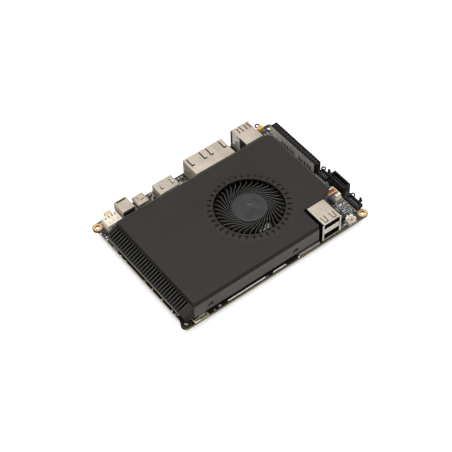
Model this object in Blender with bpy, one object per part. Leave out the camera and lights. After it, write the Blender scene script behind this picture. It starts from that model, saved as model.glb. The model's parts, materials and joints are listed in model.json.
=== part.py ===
import math
import bpy
from mathutils import Matrix, Vector
from mathutils.geometry import tessellate_polygon

# ---------------------------------------------------------------- sizes, mm
# board frame: centre of the hole pattern, z = 0 on the top copper side
BOARD_LONG = 142.0          # straight edge to straight edge, left to right
BOARD_DEEP = 102.0          # front edge to back edge
BOARD_T = 1.6
HOLE_PITCH_X = 139.0
HOLE_PITCH_Y = 95.4
HOLE_R = 1.6
EAR_R = 3.5
GAP = 0.3                   # clear space kept between two pieces that touch

COVER_TOP = 16.5            # above the board
COVER_T = 1.5
COVER_SKIRT = 3.5
COVER_LEFT, COVER_RIGHT = -63.8, 56.8
COVER_FRONT, COVER_BACK = -48.4, 31.8
COVER_DRAFT = 0.7           # the skirt leans out by this
NOTCH_X, NOTCH_Y = 32.2, -33.0
NOTCH_CUT_X, NOTCH_CUT_Y = 48.4, -28.4
WALL_T = 1.2
WALL_FOOT = 2.8

FAN_X, FAN_Y = 8.4, -9.4
FAN_HOLE_R = 22.8
HUB_R = 11.6
BLADES = 37
BLADE_R0, BLADE_R1 = 11.3, 22.2
BLADE_T = 0.5

FIN_SLOTS = 31
FIN_PITCH = 2.38
FIN_T = 0.45
FIN_Y0 = -43.9
FIN_X0, FIN_X1 = -72.0, -40.0
BASE_Z0, BASE_Z1 = 7.2, 8.2

HEADER_COLS, HEADER_ROWS, PIN_PITCH = 2, 18, 2.54
HEADER_X, HEADER_Y, HEADER_H = 67.96, 41.17, 8.5

USB_W, USB_D, USB_H = 13.1, 16.6, 15.75

CPU_X, CPU_Y = -28.0, -9.0
PLATE_T = 1.2


# ---------------------------------------------------------------- helpers
def clear_scene():
    for ob in list(bpy.data.objects):
        bpy.data.objects.remove(ob)


def add(name, verts, faces):
    me = bpy.data.meshes.new(name)
    me.from_pydata([(x / 1000, y / 1000, z / 1000) for x, y, z in verts], [], faces)
    me.validate()
    ob = bpy.data.objects.new(name, me)
    bpy.context.scene.collection.objects.link(ob)
    return ob


def area(loop):
    return 0.5 * sum(a[0] * b[1] - b[0] * a[1] for a, b in zip(loop, loop[1:] + loop[:1]))


def ccw(loop):
    loop = list(loop)
    return loop if area(loop) > 0 else loop[::-1]


def place(axis, u, v, w):
    """A flat outline (u, v) pushed along an axis by w."""
    return {"z": (u, v, w), "y": (u, w, v), "x": (w, u, v)}[axis]


def prism(name, outline, w0, w1, holes=(), axis="z", draft=None, pits=()):
    """Outline extruded from w0 to w1, with through holes and blind pits.

    draft is the outline at w0 when it differs from the one at w1.
    pits is a list of (outline, depth) sunk from the w1 face.
    """
    outer = ccw(outline)
    low = ccw(draft) if draft else outer
    inner = [ccw(h)[::-1] for h in holes]
    blind = [(ccw(p)[::-1], d) for p, d in pits]
    verts, faces = [], []

    def ring(loop, w):
        start = len(verts)
        verts.extend(place(axis, u, v, w) for u, v in loop)
        return list(range(start, start + len(loop)))

    def cap(loops, ids, up):
        flat = [i for group in ids for i in group]
        for tri in tessellate_polygon([[(u, v, 0.0) for u, v in lp] for lp in loops]):
            a, b, c = (flat[k] for k in tri)
            pts = [pt for lp in loops for pt in lp]
            s = area([pts[k] for k in tri])
            faces.append((a, b, c) if (s > 0) == up else (a, c, b))

    def side(bottom, top):
        n = len(bottom)
        for i in range(n):
            j = (i + 1) % n
            faces.append((bottom[i], bottom[j], top[j], top[i]))

    lo = [ring(low, w0)] + [ring(h, w0) for h in inner]
    hi = [ring(outer, w1)] + [ring(h, w1) for h in inner]
    for b, t in zip(lo, hi):
        side(b, t)
    pit_hi = [ring(p, w1) for p, _ in blind]
    for (p, d), t in zip(blind, pit_hi):
        f = ring(p, w1 - d)
        side(f, t)
        cap([p], [f], True)
    cap([low] + inner, lo, False)
    cap([outer] + inner + [p for p, _ in blind], hi + pit_hi, True)
    if axis == "y":
        faces = [f[::-1] for f in faces]
    return add(name, verts, faces)


def rect(x0, x1, y0, y1, r=0.0, n=3):
    """A rectangle, with rounded corners if r is given."""
    if r <= 0:
        return [(x0, y0), (x1, y0), (x1, y1), (x0, y1)]
    pts = []
    for cx, cy, a in ((x1 - r, y0 + r, -90), (x1 - r, y1 - r, 0), (x0 + r, y1 - r, 90), (x0 + r, y0 + r, 180)):
        for k in range(n + 1):
            t = math.radians(a + 90 * k / n)
            pts.append((cx + r * math.cos(t), cy + r * math.sin(t)))
    return pts


def circle(cx, cy, r, n=24, turn=0.0):
    return [(cx + r * math.cos(turn + 2 * math.pi * k / n), cy + r * math.sin(turn + 2 * math.pi * k / n)) for k in range(n)]


def box(name, x0, x1, y0, y1, z0, z1, r=0.0):
    return prism(name, rect(x0, x1, y0, y1, r), z0, z1)


def turned(name, profile, cx, cy, n=32):
    """A closed (radius, z) profile turned about a vertical line; radius 0 gives a pole."""
    verts, faces, rows = [], [], []
    for r, z in profile:
        if r == 0:
            rows.append([len(verts)])
            verts.append((cx, cy, z))
        else:
            rows.append(list(range(len(verts), len(verts) + n)))
            verts.extend((x, y, z) for x, y in circle(cx, cy, r, n))
    pairs = list(zip(rows, rows[1:] + rows[:1]))
    if profile[0][0] == 0 and profile[-1][0] == 0:
        pairs = pairs[:-1]
    for a, b in pairs:
        for i in range(n):
            j = (i + 1) % n
            if len(a) == 1:
                faces.append((a[0], b[j], b[i]))
            elif len(b) == 1:
                faces.append((a[i], a[j], b[0]))
            else:
                faces.append((a[i], a[j], b[j], b[i]))
    return add(name, verts, faces)


def combine(first, others, how="UNION"):
    """Boolean of the first object with the others, which are removed."""
    for other in others:
        mod = first.modifiers.new("b", "BOOLEAN")
        mod.operation, mod.solver, mod.object = how, "EXACT", other
        other.hide_render = True
        other.display_type = "WIRE"
    dg = bpy.context.evaluated_depsgraph_get()
    me = bpy.data.meshes.new_from_object(first.evaluated_get(dg))
    first.modifiers.clear()
    first.data = me
    for other in others:
        bpy.data.objects.remove(other)
    return first


def tube(name, route, r):
    """A round lead along a smooth route."""
    n = 3
    pts = []
    ends = [route[0]] + list(route) + [route[-1]]
    for i in range(1, len(ends) - 2):
        p0, p1, p2, p3 = ends[i - 1:i + 3]
        for k in range(n):
            t = k / n
            pts.append(tuple(0.5 * (2 * b + (c - a) * t + (2 * a - 5 * b + 4 * c - d) * t * t + (3 * b - a - 3 * c + d) * t ** 3)
                             for a, b, c, d in zip(p0, p1, p2, p3)))
    pts.append(tuple(route[-1]))
    cu = bpy.data.curves.new(name, "CURVE")
    cu.dimensions = "3D"
    cu.bevel_depth = r / 1000
    cu.bevel_resolution = 2
    cu.use_fill_caps = True
    sp = cu.splines.new("POLY")
    sp.points.add(len(pts) - 1)
    for q, (x, y, z) in zip(sp.points, pts):
        q.co = (x / 1000, y / 1000, z / 1000, 1)
    ob = bpy.data.objects.new(name, cu)
    bpy.context.scene.collection.objects.link(ob)
    return ob


# ---------------------------------------------------------------- board
def board_outline():
    """Board edge with four ears that stand proud of the short sides."""
    hx, hy = HOLE_PITCH_X / 2, HOLE_PITCH_Y / 2
    bx, by = BOARD_LONG / 2, BOARD_DEEP / 2
    reach = math.sqrt(max(EAR_R ** 2 - (bx - hx) ** 2, 0))
    a0 = math.degrees(math.atan2(-reach, bx - hx))
    right = []
    for s in (-1, 1):
        span = (-90, -a0) if s < 0 else (a0, 90)
        for k in range(7):
            t = math.radians(span[0] + (span[1] - span[0]) * k / 6)
            right.append((hx + EAR_R * math.cos(t), s * hy + EAR_R * math.sin(t)))
        if s < 0:
            right += [(bx + 0.35, -hy + reach + 0.7), (bx, -hy + reach + 1.6)]
        else:
            right[7 + 2:7 + 2] = [(bx, hy - reach - 1.6), (bx + 0.35, hy - reach - 0.7)]
    right = [(x, max(-by, min(by, y))) for x, y in right]
    left = [(-x, -y) for x, y in right]
    return right + left


def make_board():
    hx, hy = HOLE_PITCH_X / 2, HOLE_PITCH_Y / 2
    holes = [circle(sx * hx, sy * hy, HOLE_R, 24) for sx in (-1, 1) for sy in (-1, 1)]
    prism("circuit_board", board_outline(), -BOARD_T, 0, holes)


# ---------------------------------------------------------------- cooler
def cover_outline(out=0.0, notch=None):
    """Plan of the cover's top, grown outward by out, and at the port notch by notch."""
    cut = out if notch is None else notch
    l, r, f, b = COVER_LEFT - out, COVER_RIGHT + out, COVER_FRONT - out, COVER_BACK + out
    rad = 4.0
    pts = [(l, f), (NOTCH_X + cut, f), (NOTCH_X + cut, NOTCH_Y - cut), (NOTCH_CUT_X + cut * 0.4, NOTCH_Y - cut), (r, NOTCH_CUT_Y - cut * 0.6)]
    pts += [(r - rad + rad * math.cos(math.radians(a)), b - rad + rad * math.sin(math.radians(a))) for a in (0, 22.5, 45, 67.5, 90)]
    return pts + [(l, b)]


def make_cover():
    low = COVER_TOP - COVER_SKIRT
    cover = prism("cover", cover_outline(), low, COVER_TOP, draft=cover_outline(COVER_DRAFT, 0.0))
    hollow = prism("hollow", cover_outline(-COVER_T), low - 1, COVER_TOP - COVER_T)
    opening = prism("opening", circle(FAN_X, FAN_Y, FAN_HOLE_R, 48), low, COVER_TOP + 1)
    left_open = box("left_open", COVER_LEFT - 3, COVER_LEFT + 3, FIN_Y0 - 0.5, FIN_Y0 + FIN_SLOTS * FIN_PITCH + 0.9, low - 1, low + 0.001)
    combine(cover, [hollow, opening, left_open], "DIFFERENCE")
    # cheeks that close the two ends of the fin outlet, and the foot at the front corner
    skirt = [(COVER_LEFT + 0.6, low + 0.4), (COVER_LEFT + 0.6, low + 0.05), (COVER_LEFT - 0.8, low + 0.05), (COVER_LEFT - 0.8, 9.2), (-71.9, 9.2), (-71.9, 9.9), (COVER_LEFT - 0.6, low + 0.4)]
    back = prism("back", skirt, COVER_BACK - 0.9, COVER_BACK + COVER_DRAFT - 0.3, axis="y")
    front = prism("front", [(COVER_LEFT + 0.6, low + 0.4), (COVER_LEFT + 0.6, low + 0.05), (COVER_LEFT - 0.8, low + 0.05), (COVER_LEFT - 0.8, 3.4), (-69.5, 3.4), (-71.9, 8.6), (-71.9, 9.9), (COVER_LEFT - 0.6, low + 0.4)],
                  -49.0, FIN_Y0 - 0.7, axis="y")
    hx, hy = HOLE_PITCH_X / 2, HOLE_PITCH_Y / 2
    foot = prism("foot", circle(-hx, -hy, EAR_R - 0.1, 20), GAP, GAP + 1.0)
    arm = prism("arm", [(-69.6, 3.6), (-69.6, GAP + 0.2), (-67.6, GAP + 0.2), (-66.4, 3.6)], -48.2, FIN_Y0 - 0.9, axis="y")
    combine(cover, [back, front, arm, foot])
    combine(cover, [prism("bore", circle(-hx, -hy, HOLE_R, 20), GAP - 1, GAP + 3.6)], "DIFFERENCE")


def make_wall():
    """Metal side wall below the cover's skirt, open on the fin side."""
    top = COVER_TOP - COVER_SKIRT - GAP
    o, i = COVER_DRAFT, COVER_DRAFT - WALL_T
    out, inn = cover_outline(o, 0.0), cover_outline(i, -WALL_T)
    out[0] = (COVER_LEFT - 0.4, out[0][1])
    inn[0] = (COVER_LEFT - 0.4, inn[0][1])
    out[-1] = (COVER_LEFT - 0.4, out[-1][1])
    inn[-1] = (COVER_LEFT - 0.4, inn[-1][1])
    loop = out + inn[::-1]
    wall = prism("side_wall", loop, WALL_FOOT, top)
    combine(wall, [box("lead_gate", 49.0, 60.0, -32.4, -23.4, 0, 9.2)], "DIFFERENCE")


def fin_outline(z_low):
    top = COVER_TOP - COVER_T - GAP
    lip = COVER_TOP - COVER_SKIRT - 0.4
    return [(FIN_X0, z_low), (FIN_X1, z_low), (FIN_X1, top), (COVER_LEFT + COVER_T + 0.5, top), (COVER_LEFT + COVER_T + 0.5, lip), (COVER_LEFT - 0.7, lip), (FIN_X0, 8.9)]


def make_heatsink():
    y1 = FIN_Y0 + FIN_SLOTS * FIN_PITCH
    z0 = BASE_Z1 + GAP
    rail = prism("fin_pack", rect(FIN_X0 - 0.2, FIN_X1, FIN_Y0 - FIN_T / 2 - 0.1, y1 + FIN_T / 2 + 0.1), z0 - 0.1, z0 + 0.35)
    fins = [prism("fin", fin_outline(z0 + 0.1), FIN_Y0 + k * FIN_PITCH - FIN_T / 2, FIN_Y0 + k * FIN_PITCH + FIN_T / 2, axis="y")
            for k in range(FIN_SLOTS + 1)]
    combine(rail, fins)
    base = box("heatsink_base", FIN_X0 + 0.4, COVER_RIGHT - 1.2, COVER_FRONT + 1.2, COVER_BACK - 1.2, BASE_Z0, BASE_Z1, 3.5)
    cuts = [box("cut", NOTCH_X - 1.6, COVER_RIGHT + 2, COVER_FRONT - 4, NOTCH_CUT_Y + 1.6, 0, 20),
            box("cut2", FIN_X0 - 2, COVER_LEFT + 0.8, COVER_FRONT - 4, FIN_Y0 - 0.3, 0, 20),
            box("cut3", 44.0, COVER_RIGHT + 2, -30.0, -23.9, 0, 20), lead_channel()]
    combine(base, cuts, "DIFFERENCE")
    pedestal = box("pedestal", CPU_X - 15, CPU_X + 15, CPU_Y - 15, CPU_Y + 15, 3.0, BASE_Z0 + 0.3)
    legs = [prism("leg", circle(x, y, 3.0, 16), GAP, BASE_Z0 + 0.3) for x, y in screw_spots()]
    combine(base, [pedestal] + legs)
    bores = [prism("bore", circle(x, y, 1.5, 16), -1, 6.0) for x, y in screw_spots()]
    combine(base, bores, "DIFFERENCE")


def screw_spots():
    return [(CPU_X + sx * 24, CPU_Y + sy * 24) for sx in (-1, 1) for sy in (-1, 1)]


def make_fan():
    floor = BASE_Z1 + GAP
    roof = COVER_TOP - COVER_T
    # fixed: base plate with bearing cup, bearing sleeve, stator
    turned("fan_base", [(3.0, floor), (24.6, floor), (24.6, floor + 0.5), (4.4, floor + 0.5), (4.4, floor + 3.4), (3.0, floor + 3.4)], FAN_X, FAN_Y, 40)
    turned("fan_bearing", [(1.3, floor + 0.3), (2.7, floor + 0.3), (2.7, floor + 3.7), (1.3, floor + 3.7)], FAN_X, FAN_Y, 20)
    turned("fan_stator", [(4.7, floor + 0.9), (8.4, floor + 0.9), (8.4, floor + 3.0), (4.7, floor + 3.0)], FAN_X, FAN_Y, 24)
    combine(bpy.data.objects["fan_base"], [lead_channel()], "DIFFERENCE")
    # turning: hub cup with blades, magnet ring, shaft
    top = COVER_TOP - 0.8
    cup = [(0, top - 1.2), (HUB_R - 1.3, top - 1.2), (HUB_R - 1.3, floor + 1.0), (HUB_R, floor + 1.0), (HUB_R, top - 0.5), (HUB_R - 0.5, top), (0, top)]
    rotor = turned("fan_rotor", cup, FAN_X, FAN_Y, 40)
    blades = [blade(2 * math.pi * k / BLADES, floor + 1.0, roof - 0.9) for k in range(BLADES)]
    hoop = turned("hoop", [(BLADE_R1 - 1.1, floor + 0.9), (BLADE_R1, floor + 0.9), (BLADE_R1, floor + 1.5), (BLADE_R1 - 1.1, floor + 1.5)], FAN_X, FAN_Y, BLADES)
    combine(rotor, blades + [hoop])
    turned("fan_magnet", [(8.8, floor + 1.1), (HUB_R - 1.6, floor + 1.1), (HUB_R - 1.6, floor + 4.4), (8.8, floor + 4.4)], FAN_X, FAN_Y, 32)
    turned("fan_shaft", [(0, floor + 0.7), (1.0, floor + 0.7), (1.0, top - 1.5), (0, top - 1.5)], FAN_X, FAN_Y, 16)


def blade(turn, z0, z1):
    """One blade, thin in plan: it leaves the hub at a slant and straightens out at its tip."""
    steps = 6
    mid = []
    for k in range(steps + 1):
        t = k / steps
        r = BLADE_R0 + (BLADE_R1 - 0.25 - BLADE_R0) * t
        mid.append((r, turn - 0.70 * (1 - (1 - t) ** 2)))
    mid = [(r * math.cos(a), r * math.sin(a)) for r, a in mid]
    left, right = [], []
    for k, (x, y) in enumerate(mid):
        xa, ya = mid[max(k - 1, 0)]
        xb, yb = mid[min(k + 1, steps)]
        d = math.hypot(xb - xa, yb - ya)
        nx, ny = -(yb - ya) / d, (xb - xa) / d
        h = BLADE_T / 2
        left.append((FAN_X + x + nx * h, FAN_Y + y + ny * h))
        right.append((FAN_X + x - nx * h, FAN_Y + y - ny * h))
    return prism("blade", left + right[::-1], z0, z1)


def lead_channel():
    """Slot in the floor that the fan's leads lie in."""
    return prism("channel", [(14.4, -13.0), (27.2, -24.6), (33.0, -25.4), (33.0, -31.2), (22.8, -31.2), (11.6, -20.6)], 0, 20)


def make_fan_lead():
    plug_x, plug_y = 64.0, -26.6
    box("fan_header", plug_x - 2.3, plug_x + 2.3, plug_y - 4.3, plug_y + 4.3, GAP, 3.0)
    box("fan_plug", plug_x - 2.0, plug_x + 2.0, plug_y - 3.9, plug_y + 3.9, 3.0 + GAP, 5.6)
    for k in range(4):
        s = k - 1.5
        tube("fan_lead_%d" % (k + 1), [
            (plug_x + 1.0, plug_y + 1.25 * s, 6.35), (plug_x - 1.4, plug_y + 1.25 * s, 6.3), (59.0, -26.5 + 1.2 * s, 6.4), (53.5, -27.2 + 1.15 * s, 7.2),
            (46.0, -29.2 + 1.15 * s, 7.7), (33.0, -29.1 + 1.15 * s, 7.7), (26.2, -28.0 + 1.15 * s, 7.7), (20.0 + 0.85 * s, -22.6 + 0.85 * s, 7.7),
            (15.4 + 0.85 * s, -18.0 + 0.85 * s, 7.7)], 0.38)


# ---------------------------------------------------------------- chips under the cooler
def make_chips():
    box("cpu_package", CPU_X - 12.5, CPU_X + 12.5, CPU_Y - 25 / 2 + 0, CPU_Y + 25 / 2, GAP, 1.3)
    box("cpu_die", CPU_X - 7, CPU_X + 7, CPU_Y - 5.5, CPU_Y + 5.5, 1.3 + GAP, 2.7)
    for k in range(2):
        y = CPU_Y - 9 + 18 * k
        box("memory_chip_%d" % (k + 1), 2.0, 14.4, y - 6.2, y + 6.2, GAP, 1.3)
    for k in range(2):
        x = -50 + 8.4 * k
        box("inductor_%d" % (k + 1), x, x + 6.6, 20.4, 27.0, GAP, 4.2, 0.8)


def make_screws():
    for k, (x, y) in enumerate(screw_spots()):
        head = -BOARD_T - 2 * GAP - PLATE_T
        turned("cooler_screw_%d" % (k + 1), [(0, head - 1.5), (2.6, head - 1.5), (2.6, head), (1.15, head), (1.15, 5.0), (0, 5.0)], x, y, 16)
    board = bpy.data.objects["circuit_board"]
    combine(board, [prism("bore", circle(x, y, 1.5, 16), -BOARD_T - 1, 1) for x, y in screw_spots()], "DIFFERENCE")


# ---------------------------------------------------------------- ports
def can(name, x0, x1, y0, y1, z0, z1, t, front, r=0.0):
    """A metal can open at one end along y. front is -1 or +1: the open end."""
    can_ob = prism(name, rect(x0, x1, z0, z1, r), y0, y1, axis="y")
    a, b = (y0 - 1, y1 - t) if front < 0 else (y0 + t, y1 + 1)
    combine(can_ob, [prism("hollow", rect(x0 + t, x1 - t, z0 + t, z1 - t, max(r - t, 0)), a, b, axis="y")], "DIFFERENCE")
    return can_ob


def usb_stack(tag, x0, y_open, front):
    """Two stacked sockets in one can, with a plastic core behind and two tongues."""
    y_back = y_open - front * USB_D
    y0, y1 = min(y_open, y_back), max(y_open, y_back)
    x1 = x0 + USB_W
    shell = can(tag + "_shell", x0, x1, y0, y1, GAP, USB_H, 0.35, front)
    lip = prism("lip", rect(x0 - 0.9, x1 + 0.9, GAP + 0.4, USB_H - 0.8), y_open - 0.175, y_open + 0.175, axis="y")
    lip_cut = prism("lip_cut", rect(x0 + 0.35, x1 - 0.35, GAP - 1, USB_H + 1), y_open - 1, y_open + 1, axis="y")
    combine(lip, [lip_cut], "DIFFERENCE")
    combine(shell, [lip])
    g = 0.35 + GAP
    a, b = sorted((y_back + front * g, y_back + front * 6.0))
    core = prism(tag + "_core", rect(x0 + g, x1 - g, GAP + g, USB_H - g), a, b, axis="y")
    parts = []
    mid = (GAP + USB_H) / 2
    for zc in (mid - 3.9, mid + 3.9):
        a, b = sorted((y_back + front * 5.5, y_open - front * 1.0))
        parts.append(prism("tongue", rect(x0 + 1.4, x1 - 1.4, zc + 0.1, zc + 1.9), a, b, axis="y"))
    a, b = sorted((y_back + front * 5.5, y_open - front * 0.4))
    parts.append(prism("divider", rect(x0 + g, x1 - g, mid - 1.3, mid + 1.3), a, b, axis="y"))
    combine(core, parts)


def make_ports():
    # white power input at the back-left corner
    body = prism("power_input", rect(-66.0, -55.2, 39.4, 48.2), GAP, 6.0)
    mouth = prism("mouth", rect(-65.0, -56.2, 1.3, 5.0), 42.4, 50.0, axis="y")
    combine(body, [mouth], "DIFFERENCE")
    box("power_input_tab", -61.6, -57.0, 48.5, 52.4, GAP, 4.2)

    # barrel jack in a metal can, plastic body behind
    shell = prism("jack_shell", rect(-54.0, -45.0, GAP, 9.8), 40.2, 51.0, axis="y")
    combine(shell, [prism("hollow", rect(-53.6, -45.4, GAP + 0.4, 9.4), 39, 52, axis="y")], "DIFFERENCE")
    jack = prism("jack_body", rect(-53.2, -45.8, 1.1, 9.0), 39.4, 50.6, axis="y")
    combine(jack, [prism("rear", rect(-53.6, -45.4, GAP, 7.0), 34.6, 39.8, axis="y")])
    combine(jack, [prism("bore", circle(-49.5, 5.1, 3.2, 24), 42.5, 52.0, axis="y")], "DIFFERENCE")
    combine(jack, [prism("pin", circle(-49.5, 5.1, 1.2, 12), 42.0, 50.2, axis="y")])

    can("usb_c_shell", -40.4, -31.4, 43.6, 51.9, GAP, 3.5, 0.3, 1, 1.45)
    prism("usb_c_tongue", rect(-39.2, -32.6, 1.55, 2.25), 44.2, 51.0, axis="y")

    can("hdmi_shell", -25.0, -10.2, 40.1, 50.2, GAP, 6.5, 0.4, 1)
    prism("hdmi_tongue", rect(-23.6, -11.6, 2.9, 4.3), 40.8, 49.2, axis="y")

    shell = prism("lan_shell", rect(-0.3, 30.9, GAP, 13.5), 34.6, 49.9, axis="y")
    bays = [prism("bay", rect(x, x + 13.6, 1.2, 12.6), 35.0, 51.0, axis="y") for x in (0.7, 16.3)]
    combine(shell, bays, "DIFFERENCE")
    for k, x in enumerate((0.7, 16.3)):
        core = prism("lan_core_%d" % (k + 1), rect(x + GAP, x + 13.6 - GAP, 1.5, 12.3), 35.3, 49.4, axis="y")
        plug = prism("plug", [(x + 1.0, 2.6), (x + 12.6, 2.6), (x + 12.6, 9.4), (x + 9.8, 9.4), (x + 9.8, 11.0), (x + 3.8, 11.0), (x + 3.8, 9.4), (x + 1.0, 9.4)], 38.0, 51.0, axis="y")
        combine(core, [plug], "DIFFERENCE")

    usb_stack("usb3", 39.7, 50.0, 1)
    usb_stack("usb2", 35.1, -50.0, -1)

    # side button: block and loop-shaped pusher
    body = box("button_body", 61.2, 65.6, 48.2, 50.9, GAP, 3.0)
    combine(body, [prism("slot", rect(62.2, 64.6, 1.1, 2.3), 49.4, 52, axis="y")], "DIFFERENCE")
    stem = box("button_cap", 62.6, 64.2, 49.9, 51.6, 1.4, 2.0)
    ring = prism("ring", circle(63.4, 52.9, 1.9, 20), 1.3, 2.1, [circle(63.4, 52.9, 1.05, 16)])
    combine(stem, [ring])

    # memory-card socket at the front-left corner
    sock = can("card_socket", -65.7, -55.3, -51.8, -41.2, GAP, 1.75, 0.2, -1)

    # ribbon connector with a flip lock on the front edge
    body = box("ribbon_socket", 14.4, 33.0, -48.6, -45.4, GAP, 1.9)
    arms = [box("arm", x, x + 0.8, -50.2, -48.3, GAP, 1.5) for x in (14.4, 32.2)]
    combine(body, arms)
    prism("ribbon_lock", [(-50.7, 0.45), (-48.95, 0.45), (-48.95, 1.35), (-49.4, 1.7), (-50.4, 1.7), (-50.7, 1.3)], 15.5, 31.9, axis="x")

    # white two-pin socket, black box header beside it
    body = box("small_socket", 56.1, 61.8, -50.4, -46.2, GAP, 3.6)
    combine(body, [prism("mouth", rect(57.0, 60.9, 1.1, 4.0), -52, -48.0, axis="y")], "DIFFERENCE")
    box("choke", 52.6, 58.4, -45.0, -39.4, GAP, 3.0, 0.6)


def make_right_side():
    x0 = HEADER_X - PIN_PITCH / 2
    y1 = HEADER_Y + PIN_PITCH / 2
    pits = []
    for c in range(HEADER_COLS):
        for k in range(HEADER_ROWS):
            cx, cy = HEADER_X + c * PIN_PITCH, HEADER_Y - k * PIN_PITCH
            pits.append((rect(cx - 0.5, cx + 0.5, cy - 0.5, cy + 0.5), 3.0))
    prism("pin_header", rect(x0, x0 + HEADER_COLS * PIN_PITCH, y1 - HEADER_ROWS * PIN_PITCH, y1), GAP, HEADER_H, pits=pits)

    # two low shrouded sockets with a loop and a hook, and a tall one between
    for tag, ya, yb, eye in (("latch_socket_1", -13.4, -4.9, -4.6), ("latch_socket_2", -44.4, -31.2, -33.7)):
        body = box(tag, 67.6, 72.6, ya, yb, GAP, 3.0)
        loop = prism("loop", circle(73.4, eye, 1.7, 18), 1.6, 2.4, [circle(73.4, eye, 0.9, 14)])
        hook = prism("hook", [(72.4, ya + 5.4), (72.4, ya + 2.8), (74.9, ya + 2.8), (74.9, ya + 3.8)], 1.6, 2.4)
        post = box("post", 73.2, 74.4, ya + 3.0, ya + 4.5, 1.8, 5.0)
        combine(body, [loop, hook, post])
    body = box("drive_socket", 68.8, 74.6, -29.6, -14.6, GAP, 8.2)
    slot = box("slot", 69.8, 73.6, -28.8, -15.6, 2.6, 9.0)
    combine(body, [slot], "DIFFERENCE")
    combine(body, [prism("tongue", rect(71.3, 72.1, -27.6, -16.8), 2.0, 7.0)])


# ---------------------------------------------------------------- underside
def make_underside():
    z1 = -BOARD_T - GAP
    for k, (x, y, length) in enumerate(((-60.0, 33.0, 80), (60.0, 9.0, 42), (60.0, -26.0, 30))):
        s = 1 if x < 0 else -1
        body = box("card_slot_%d" % (k + 1), min(x, x + s * 8.4), max(x, x + s * 8.4), y - 10.9, y + 10.9, z1 - 4.2, z1)
        mouth = prism("mouth", rect(y - 9.9, y + 9.9, z1 - 3.1, z1 - 2.0), min(x + s * 3, x + s * 10), max(x + s * 3, x + s * 10), axis="x")
        combine(body, [mouth], "DIFFERENCE")
        turned("card_post_%d" % (k + 1), [(1.2, z1 - 2.4), (2.75, z1 - 2.4), (2.75, z1), (1.2, z1)], x + s * (8.0 + length - 6), y, 16)
    prism("backplate", rect(CPU_X - 28, CPU_X + 28, CPU_Y - 28, CPU_Y + 28, 3.0), z1 - PLATE_T, z1,
          [circle(x, y, 1.5, 16) for x, y in screw_spots()])


# ---------------------------------------------------------------- finishes
# colour (linear red, green, blue), roughness, metallic
FINISHES = {
    "solder_mask_on_glass_epoxy": ((0.010, 0.010, 0.011), 0.35, 0.0),
    "powder_coated_steel": ((0.016, 0.014, 0.012), 0.50, 0.0),
    "grey_anodised_aluminium": ((0.140, 0.135, 0.130), 0.50, 0.35),
    "black_anodised_aluminium": ((0.008, 0.008, 0.007), 0.50, 0.25),
    "mill_aluminium": ((0.350, 0.350, 0.350), 0.38, 1.0),
    "matt_tin_plate": ((0.480, 0.420, 0.350), 0.55, 0.45),
    "nickel_plated_steel": ((0.600, 0.570, 0.530), 0.25, 1.0),
    "machined_brass": ((0.420, 0.270, 0.080), 0.30, 1.0),
    "black_nylon": ((0.006, 0.006, 0.005), 0.50, 0.0),
    "black_pbt": ((0.014, 0.013, 0.012), 0.34, 0.0),
    "ivory_nylon": ((0.820, 0.740, 0.620), 0.40, 0.0),
    "tan_lcp": ((0.700, 0.540, 0.320), 0.46, 0.0),
    "yellow_nylon": ((0.650, 0.380, 0.090), 0.44, 0.0),
    "grey_lcp": ((0.240, 0.230, 0.215), 0.42, 0.0),
    "red_lcp": ((0.150, 0.025, 0.022), 0.42, 0.0),
    "epoxy_chip": ((0.018, 0.018, 0.019), 0.55, 0.0),
    "silicon": ((0.035, 0.042, 0.055), 0.12, 0.6),
    "ferrite": ((0.012, 0.011, 0.010), 0.60, 0.0),
    "navy_pvc": ((0.030, 0.035, 0.150), 0.36, 0.0),
    "yellow_pvc": ((0.820, 0.480, 0.060), 0.36, 0.0),
    "red_pvc": ((0.600, 0.050, 0.035), 0.36, 0.0),
    "black_pvc": ((0.008, 0.008, 0.008), 0.36, 0.0),
}
MADE_OF = {
    "solder_mask_on_glass_epoxy": ["circuit_board", "cpu_package"],
    "powder_coated_steel": ["cover"],
    "grey_anodised_aluminium": ["side_wall"],
    "black_anodised_aluminium": ["fin_pack", "fan_base", "backplate"],
    "mill_aluminium": ["heatsink_base"],
    "matt_tin_plate": ["jack_shell", "usb_c_shell", "hdmi_shell", "lan_shell", "usb3_shell", "usb2_shell"],
    "nickel_plated_steel": ["fan_shaft", "card_socket", "cooler_screw_1", "cooler_screw_2", "cooler_screw_3", "cooler_screw_4"],
    "machined_brass": ["fan_bearing", "fan_stator", "card_post_1", "card_post_2", "card_post_3"],
    "black_nylon": ["jack_body", "usb_c_tongue", "hdmi_tongue", "lan_core_1", "lan_core_2", "usb2_core", "button_cap", "ribbon_socket", "pin_header",
                    "latch_socket_1", "latch_socket_2", "drive_socket", "card_slot_1", "card_slot_2", "card_slot_3"],
    "black_pbt": ["fan_rotor"],
    "ivory_nylon": ["power_input", "small_socket", "fan_header", "fan_plug"],
    "tan_lcp": ["power_input_tab"],
    "yellow_nylon": ["button_body"],
    "grey_lcp": ["ribbon_lock"],
    "red_lcp": ["usb3_core"],
    "epoxy_chip": ["memory_chip_1", "memory_chip_2"],
    "silicon": ["cpu_die"],
    "ferrite": ["fan_magnet", "inductor_1", "inductor_2", "choke"],
    "navy_pvc": ["fan_lead_1"],
    "yellow_pvc": ["fan_lead_2"],
    "red_pvc": ["fan_lead_3"],
    "black_pvc": ["fan_lead_4"],
}
ROUND = ["fan_base", "fan_bearing", "fan_stator", "fan_rotor", "fan_magnet", "fan_shaft", "card_post_1", "card_post_2", "card_post_3",
         "cooler_screw_1", "cooler_screw_2", "cooler_screw_3", "cooler_screw_4", "cover", "jack_body", "usb_c_shell"]
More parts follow.
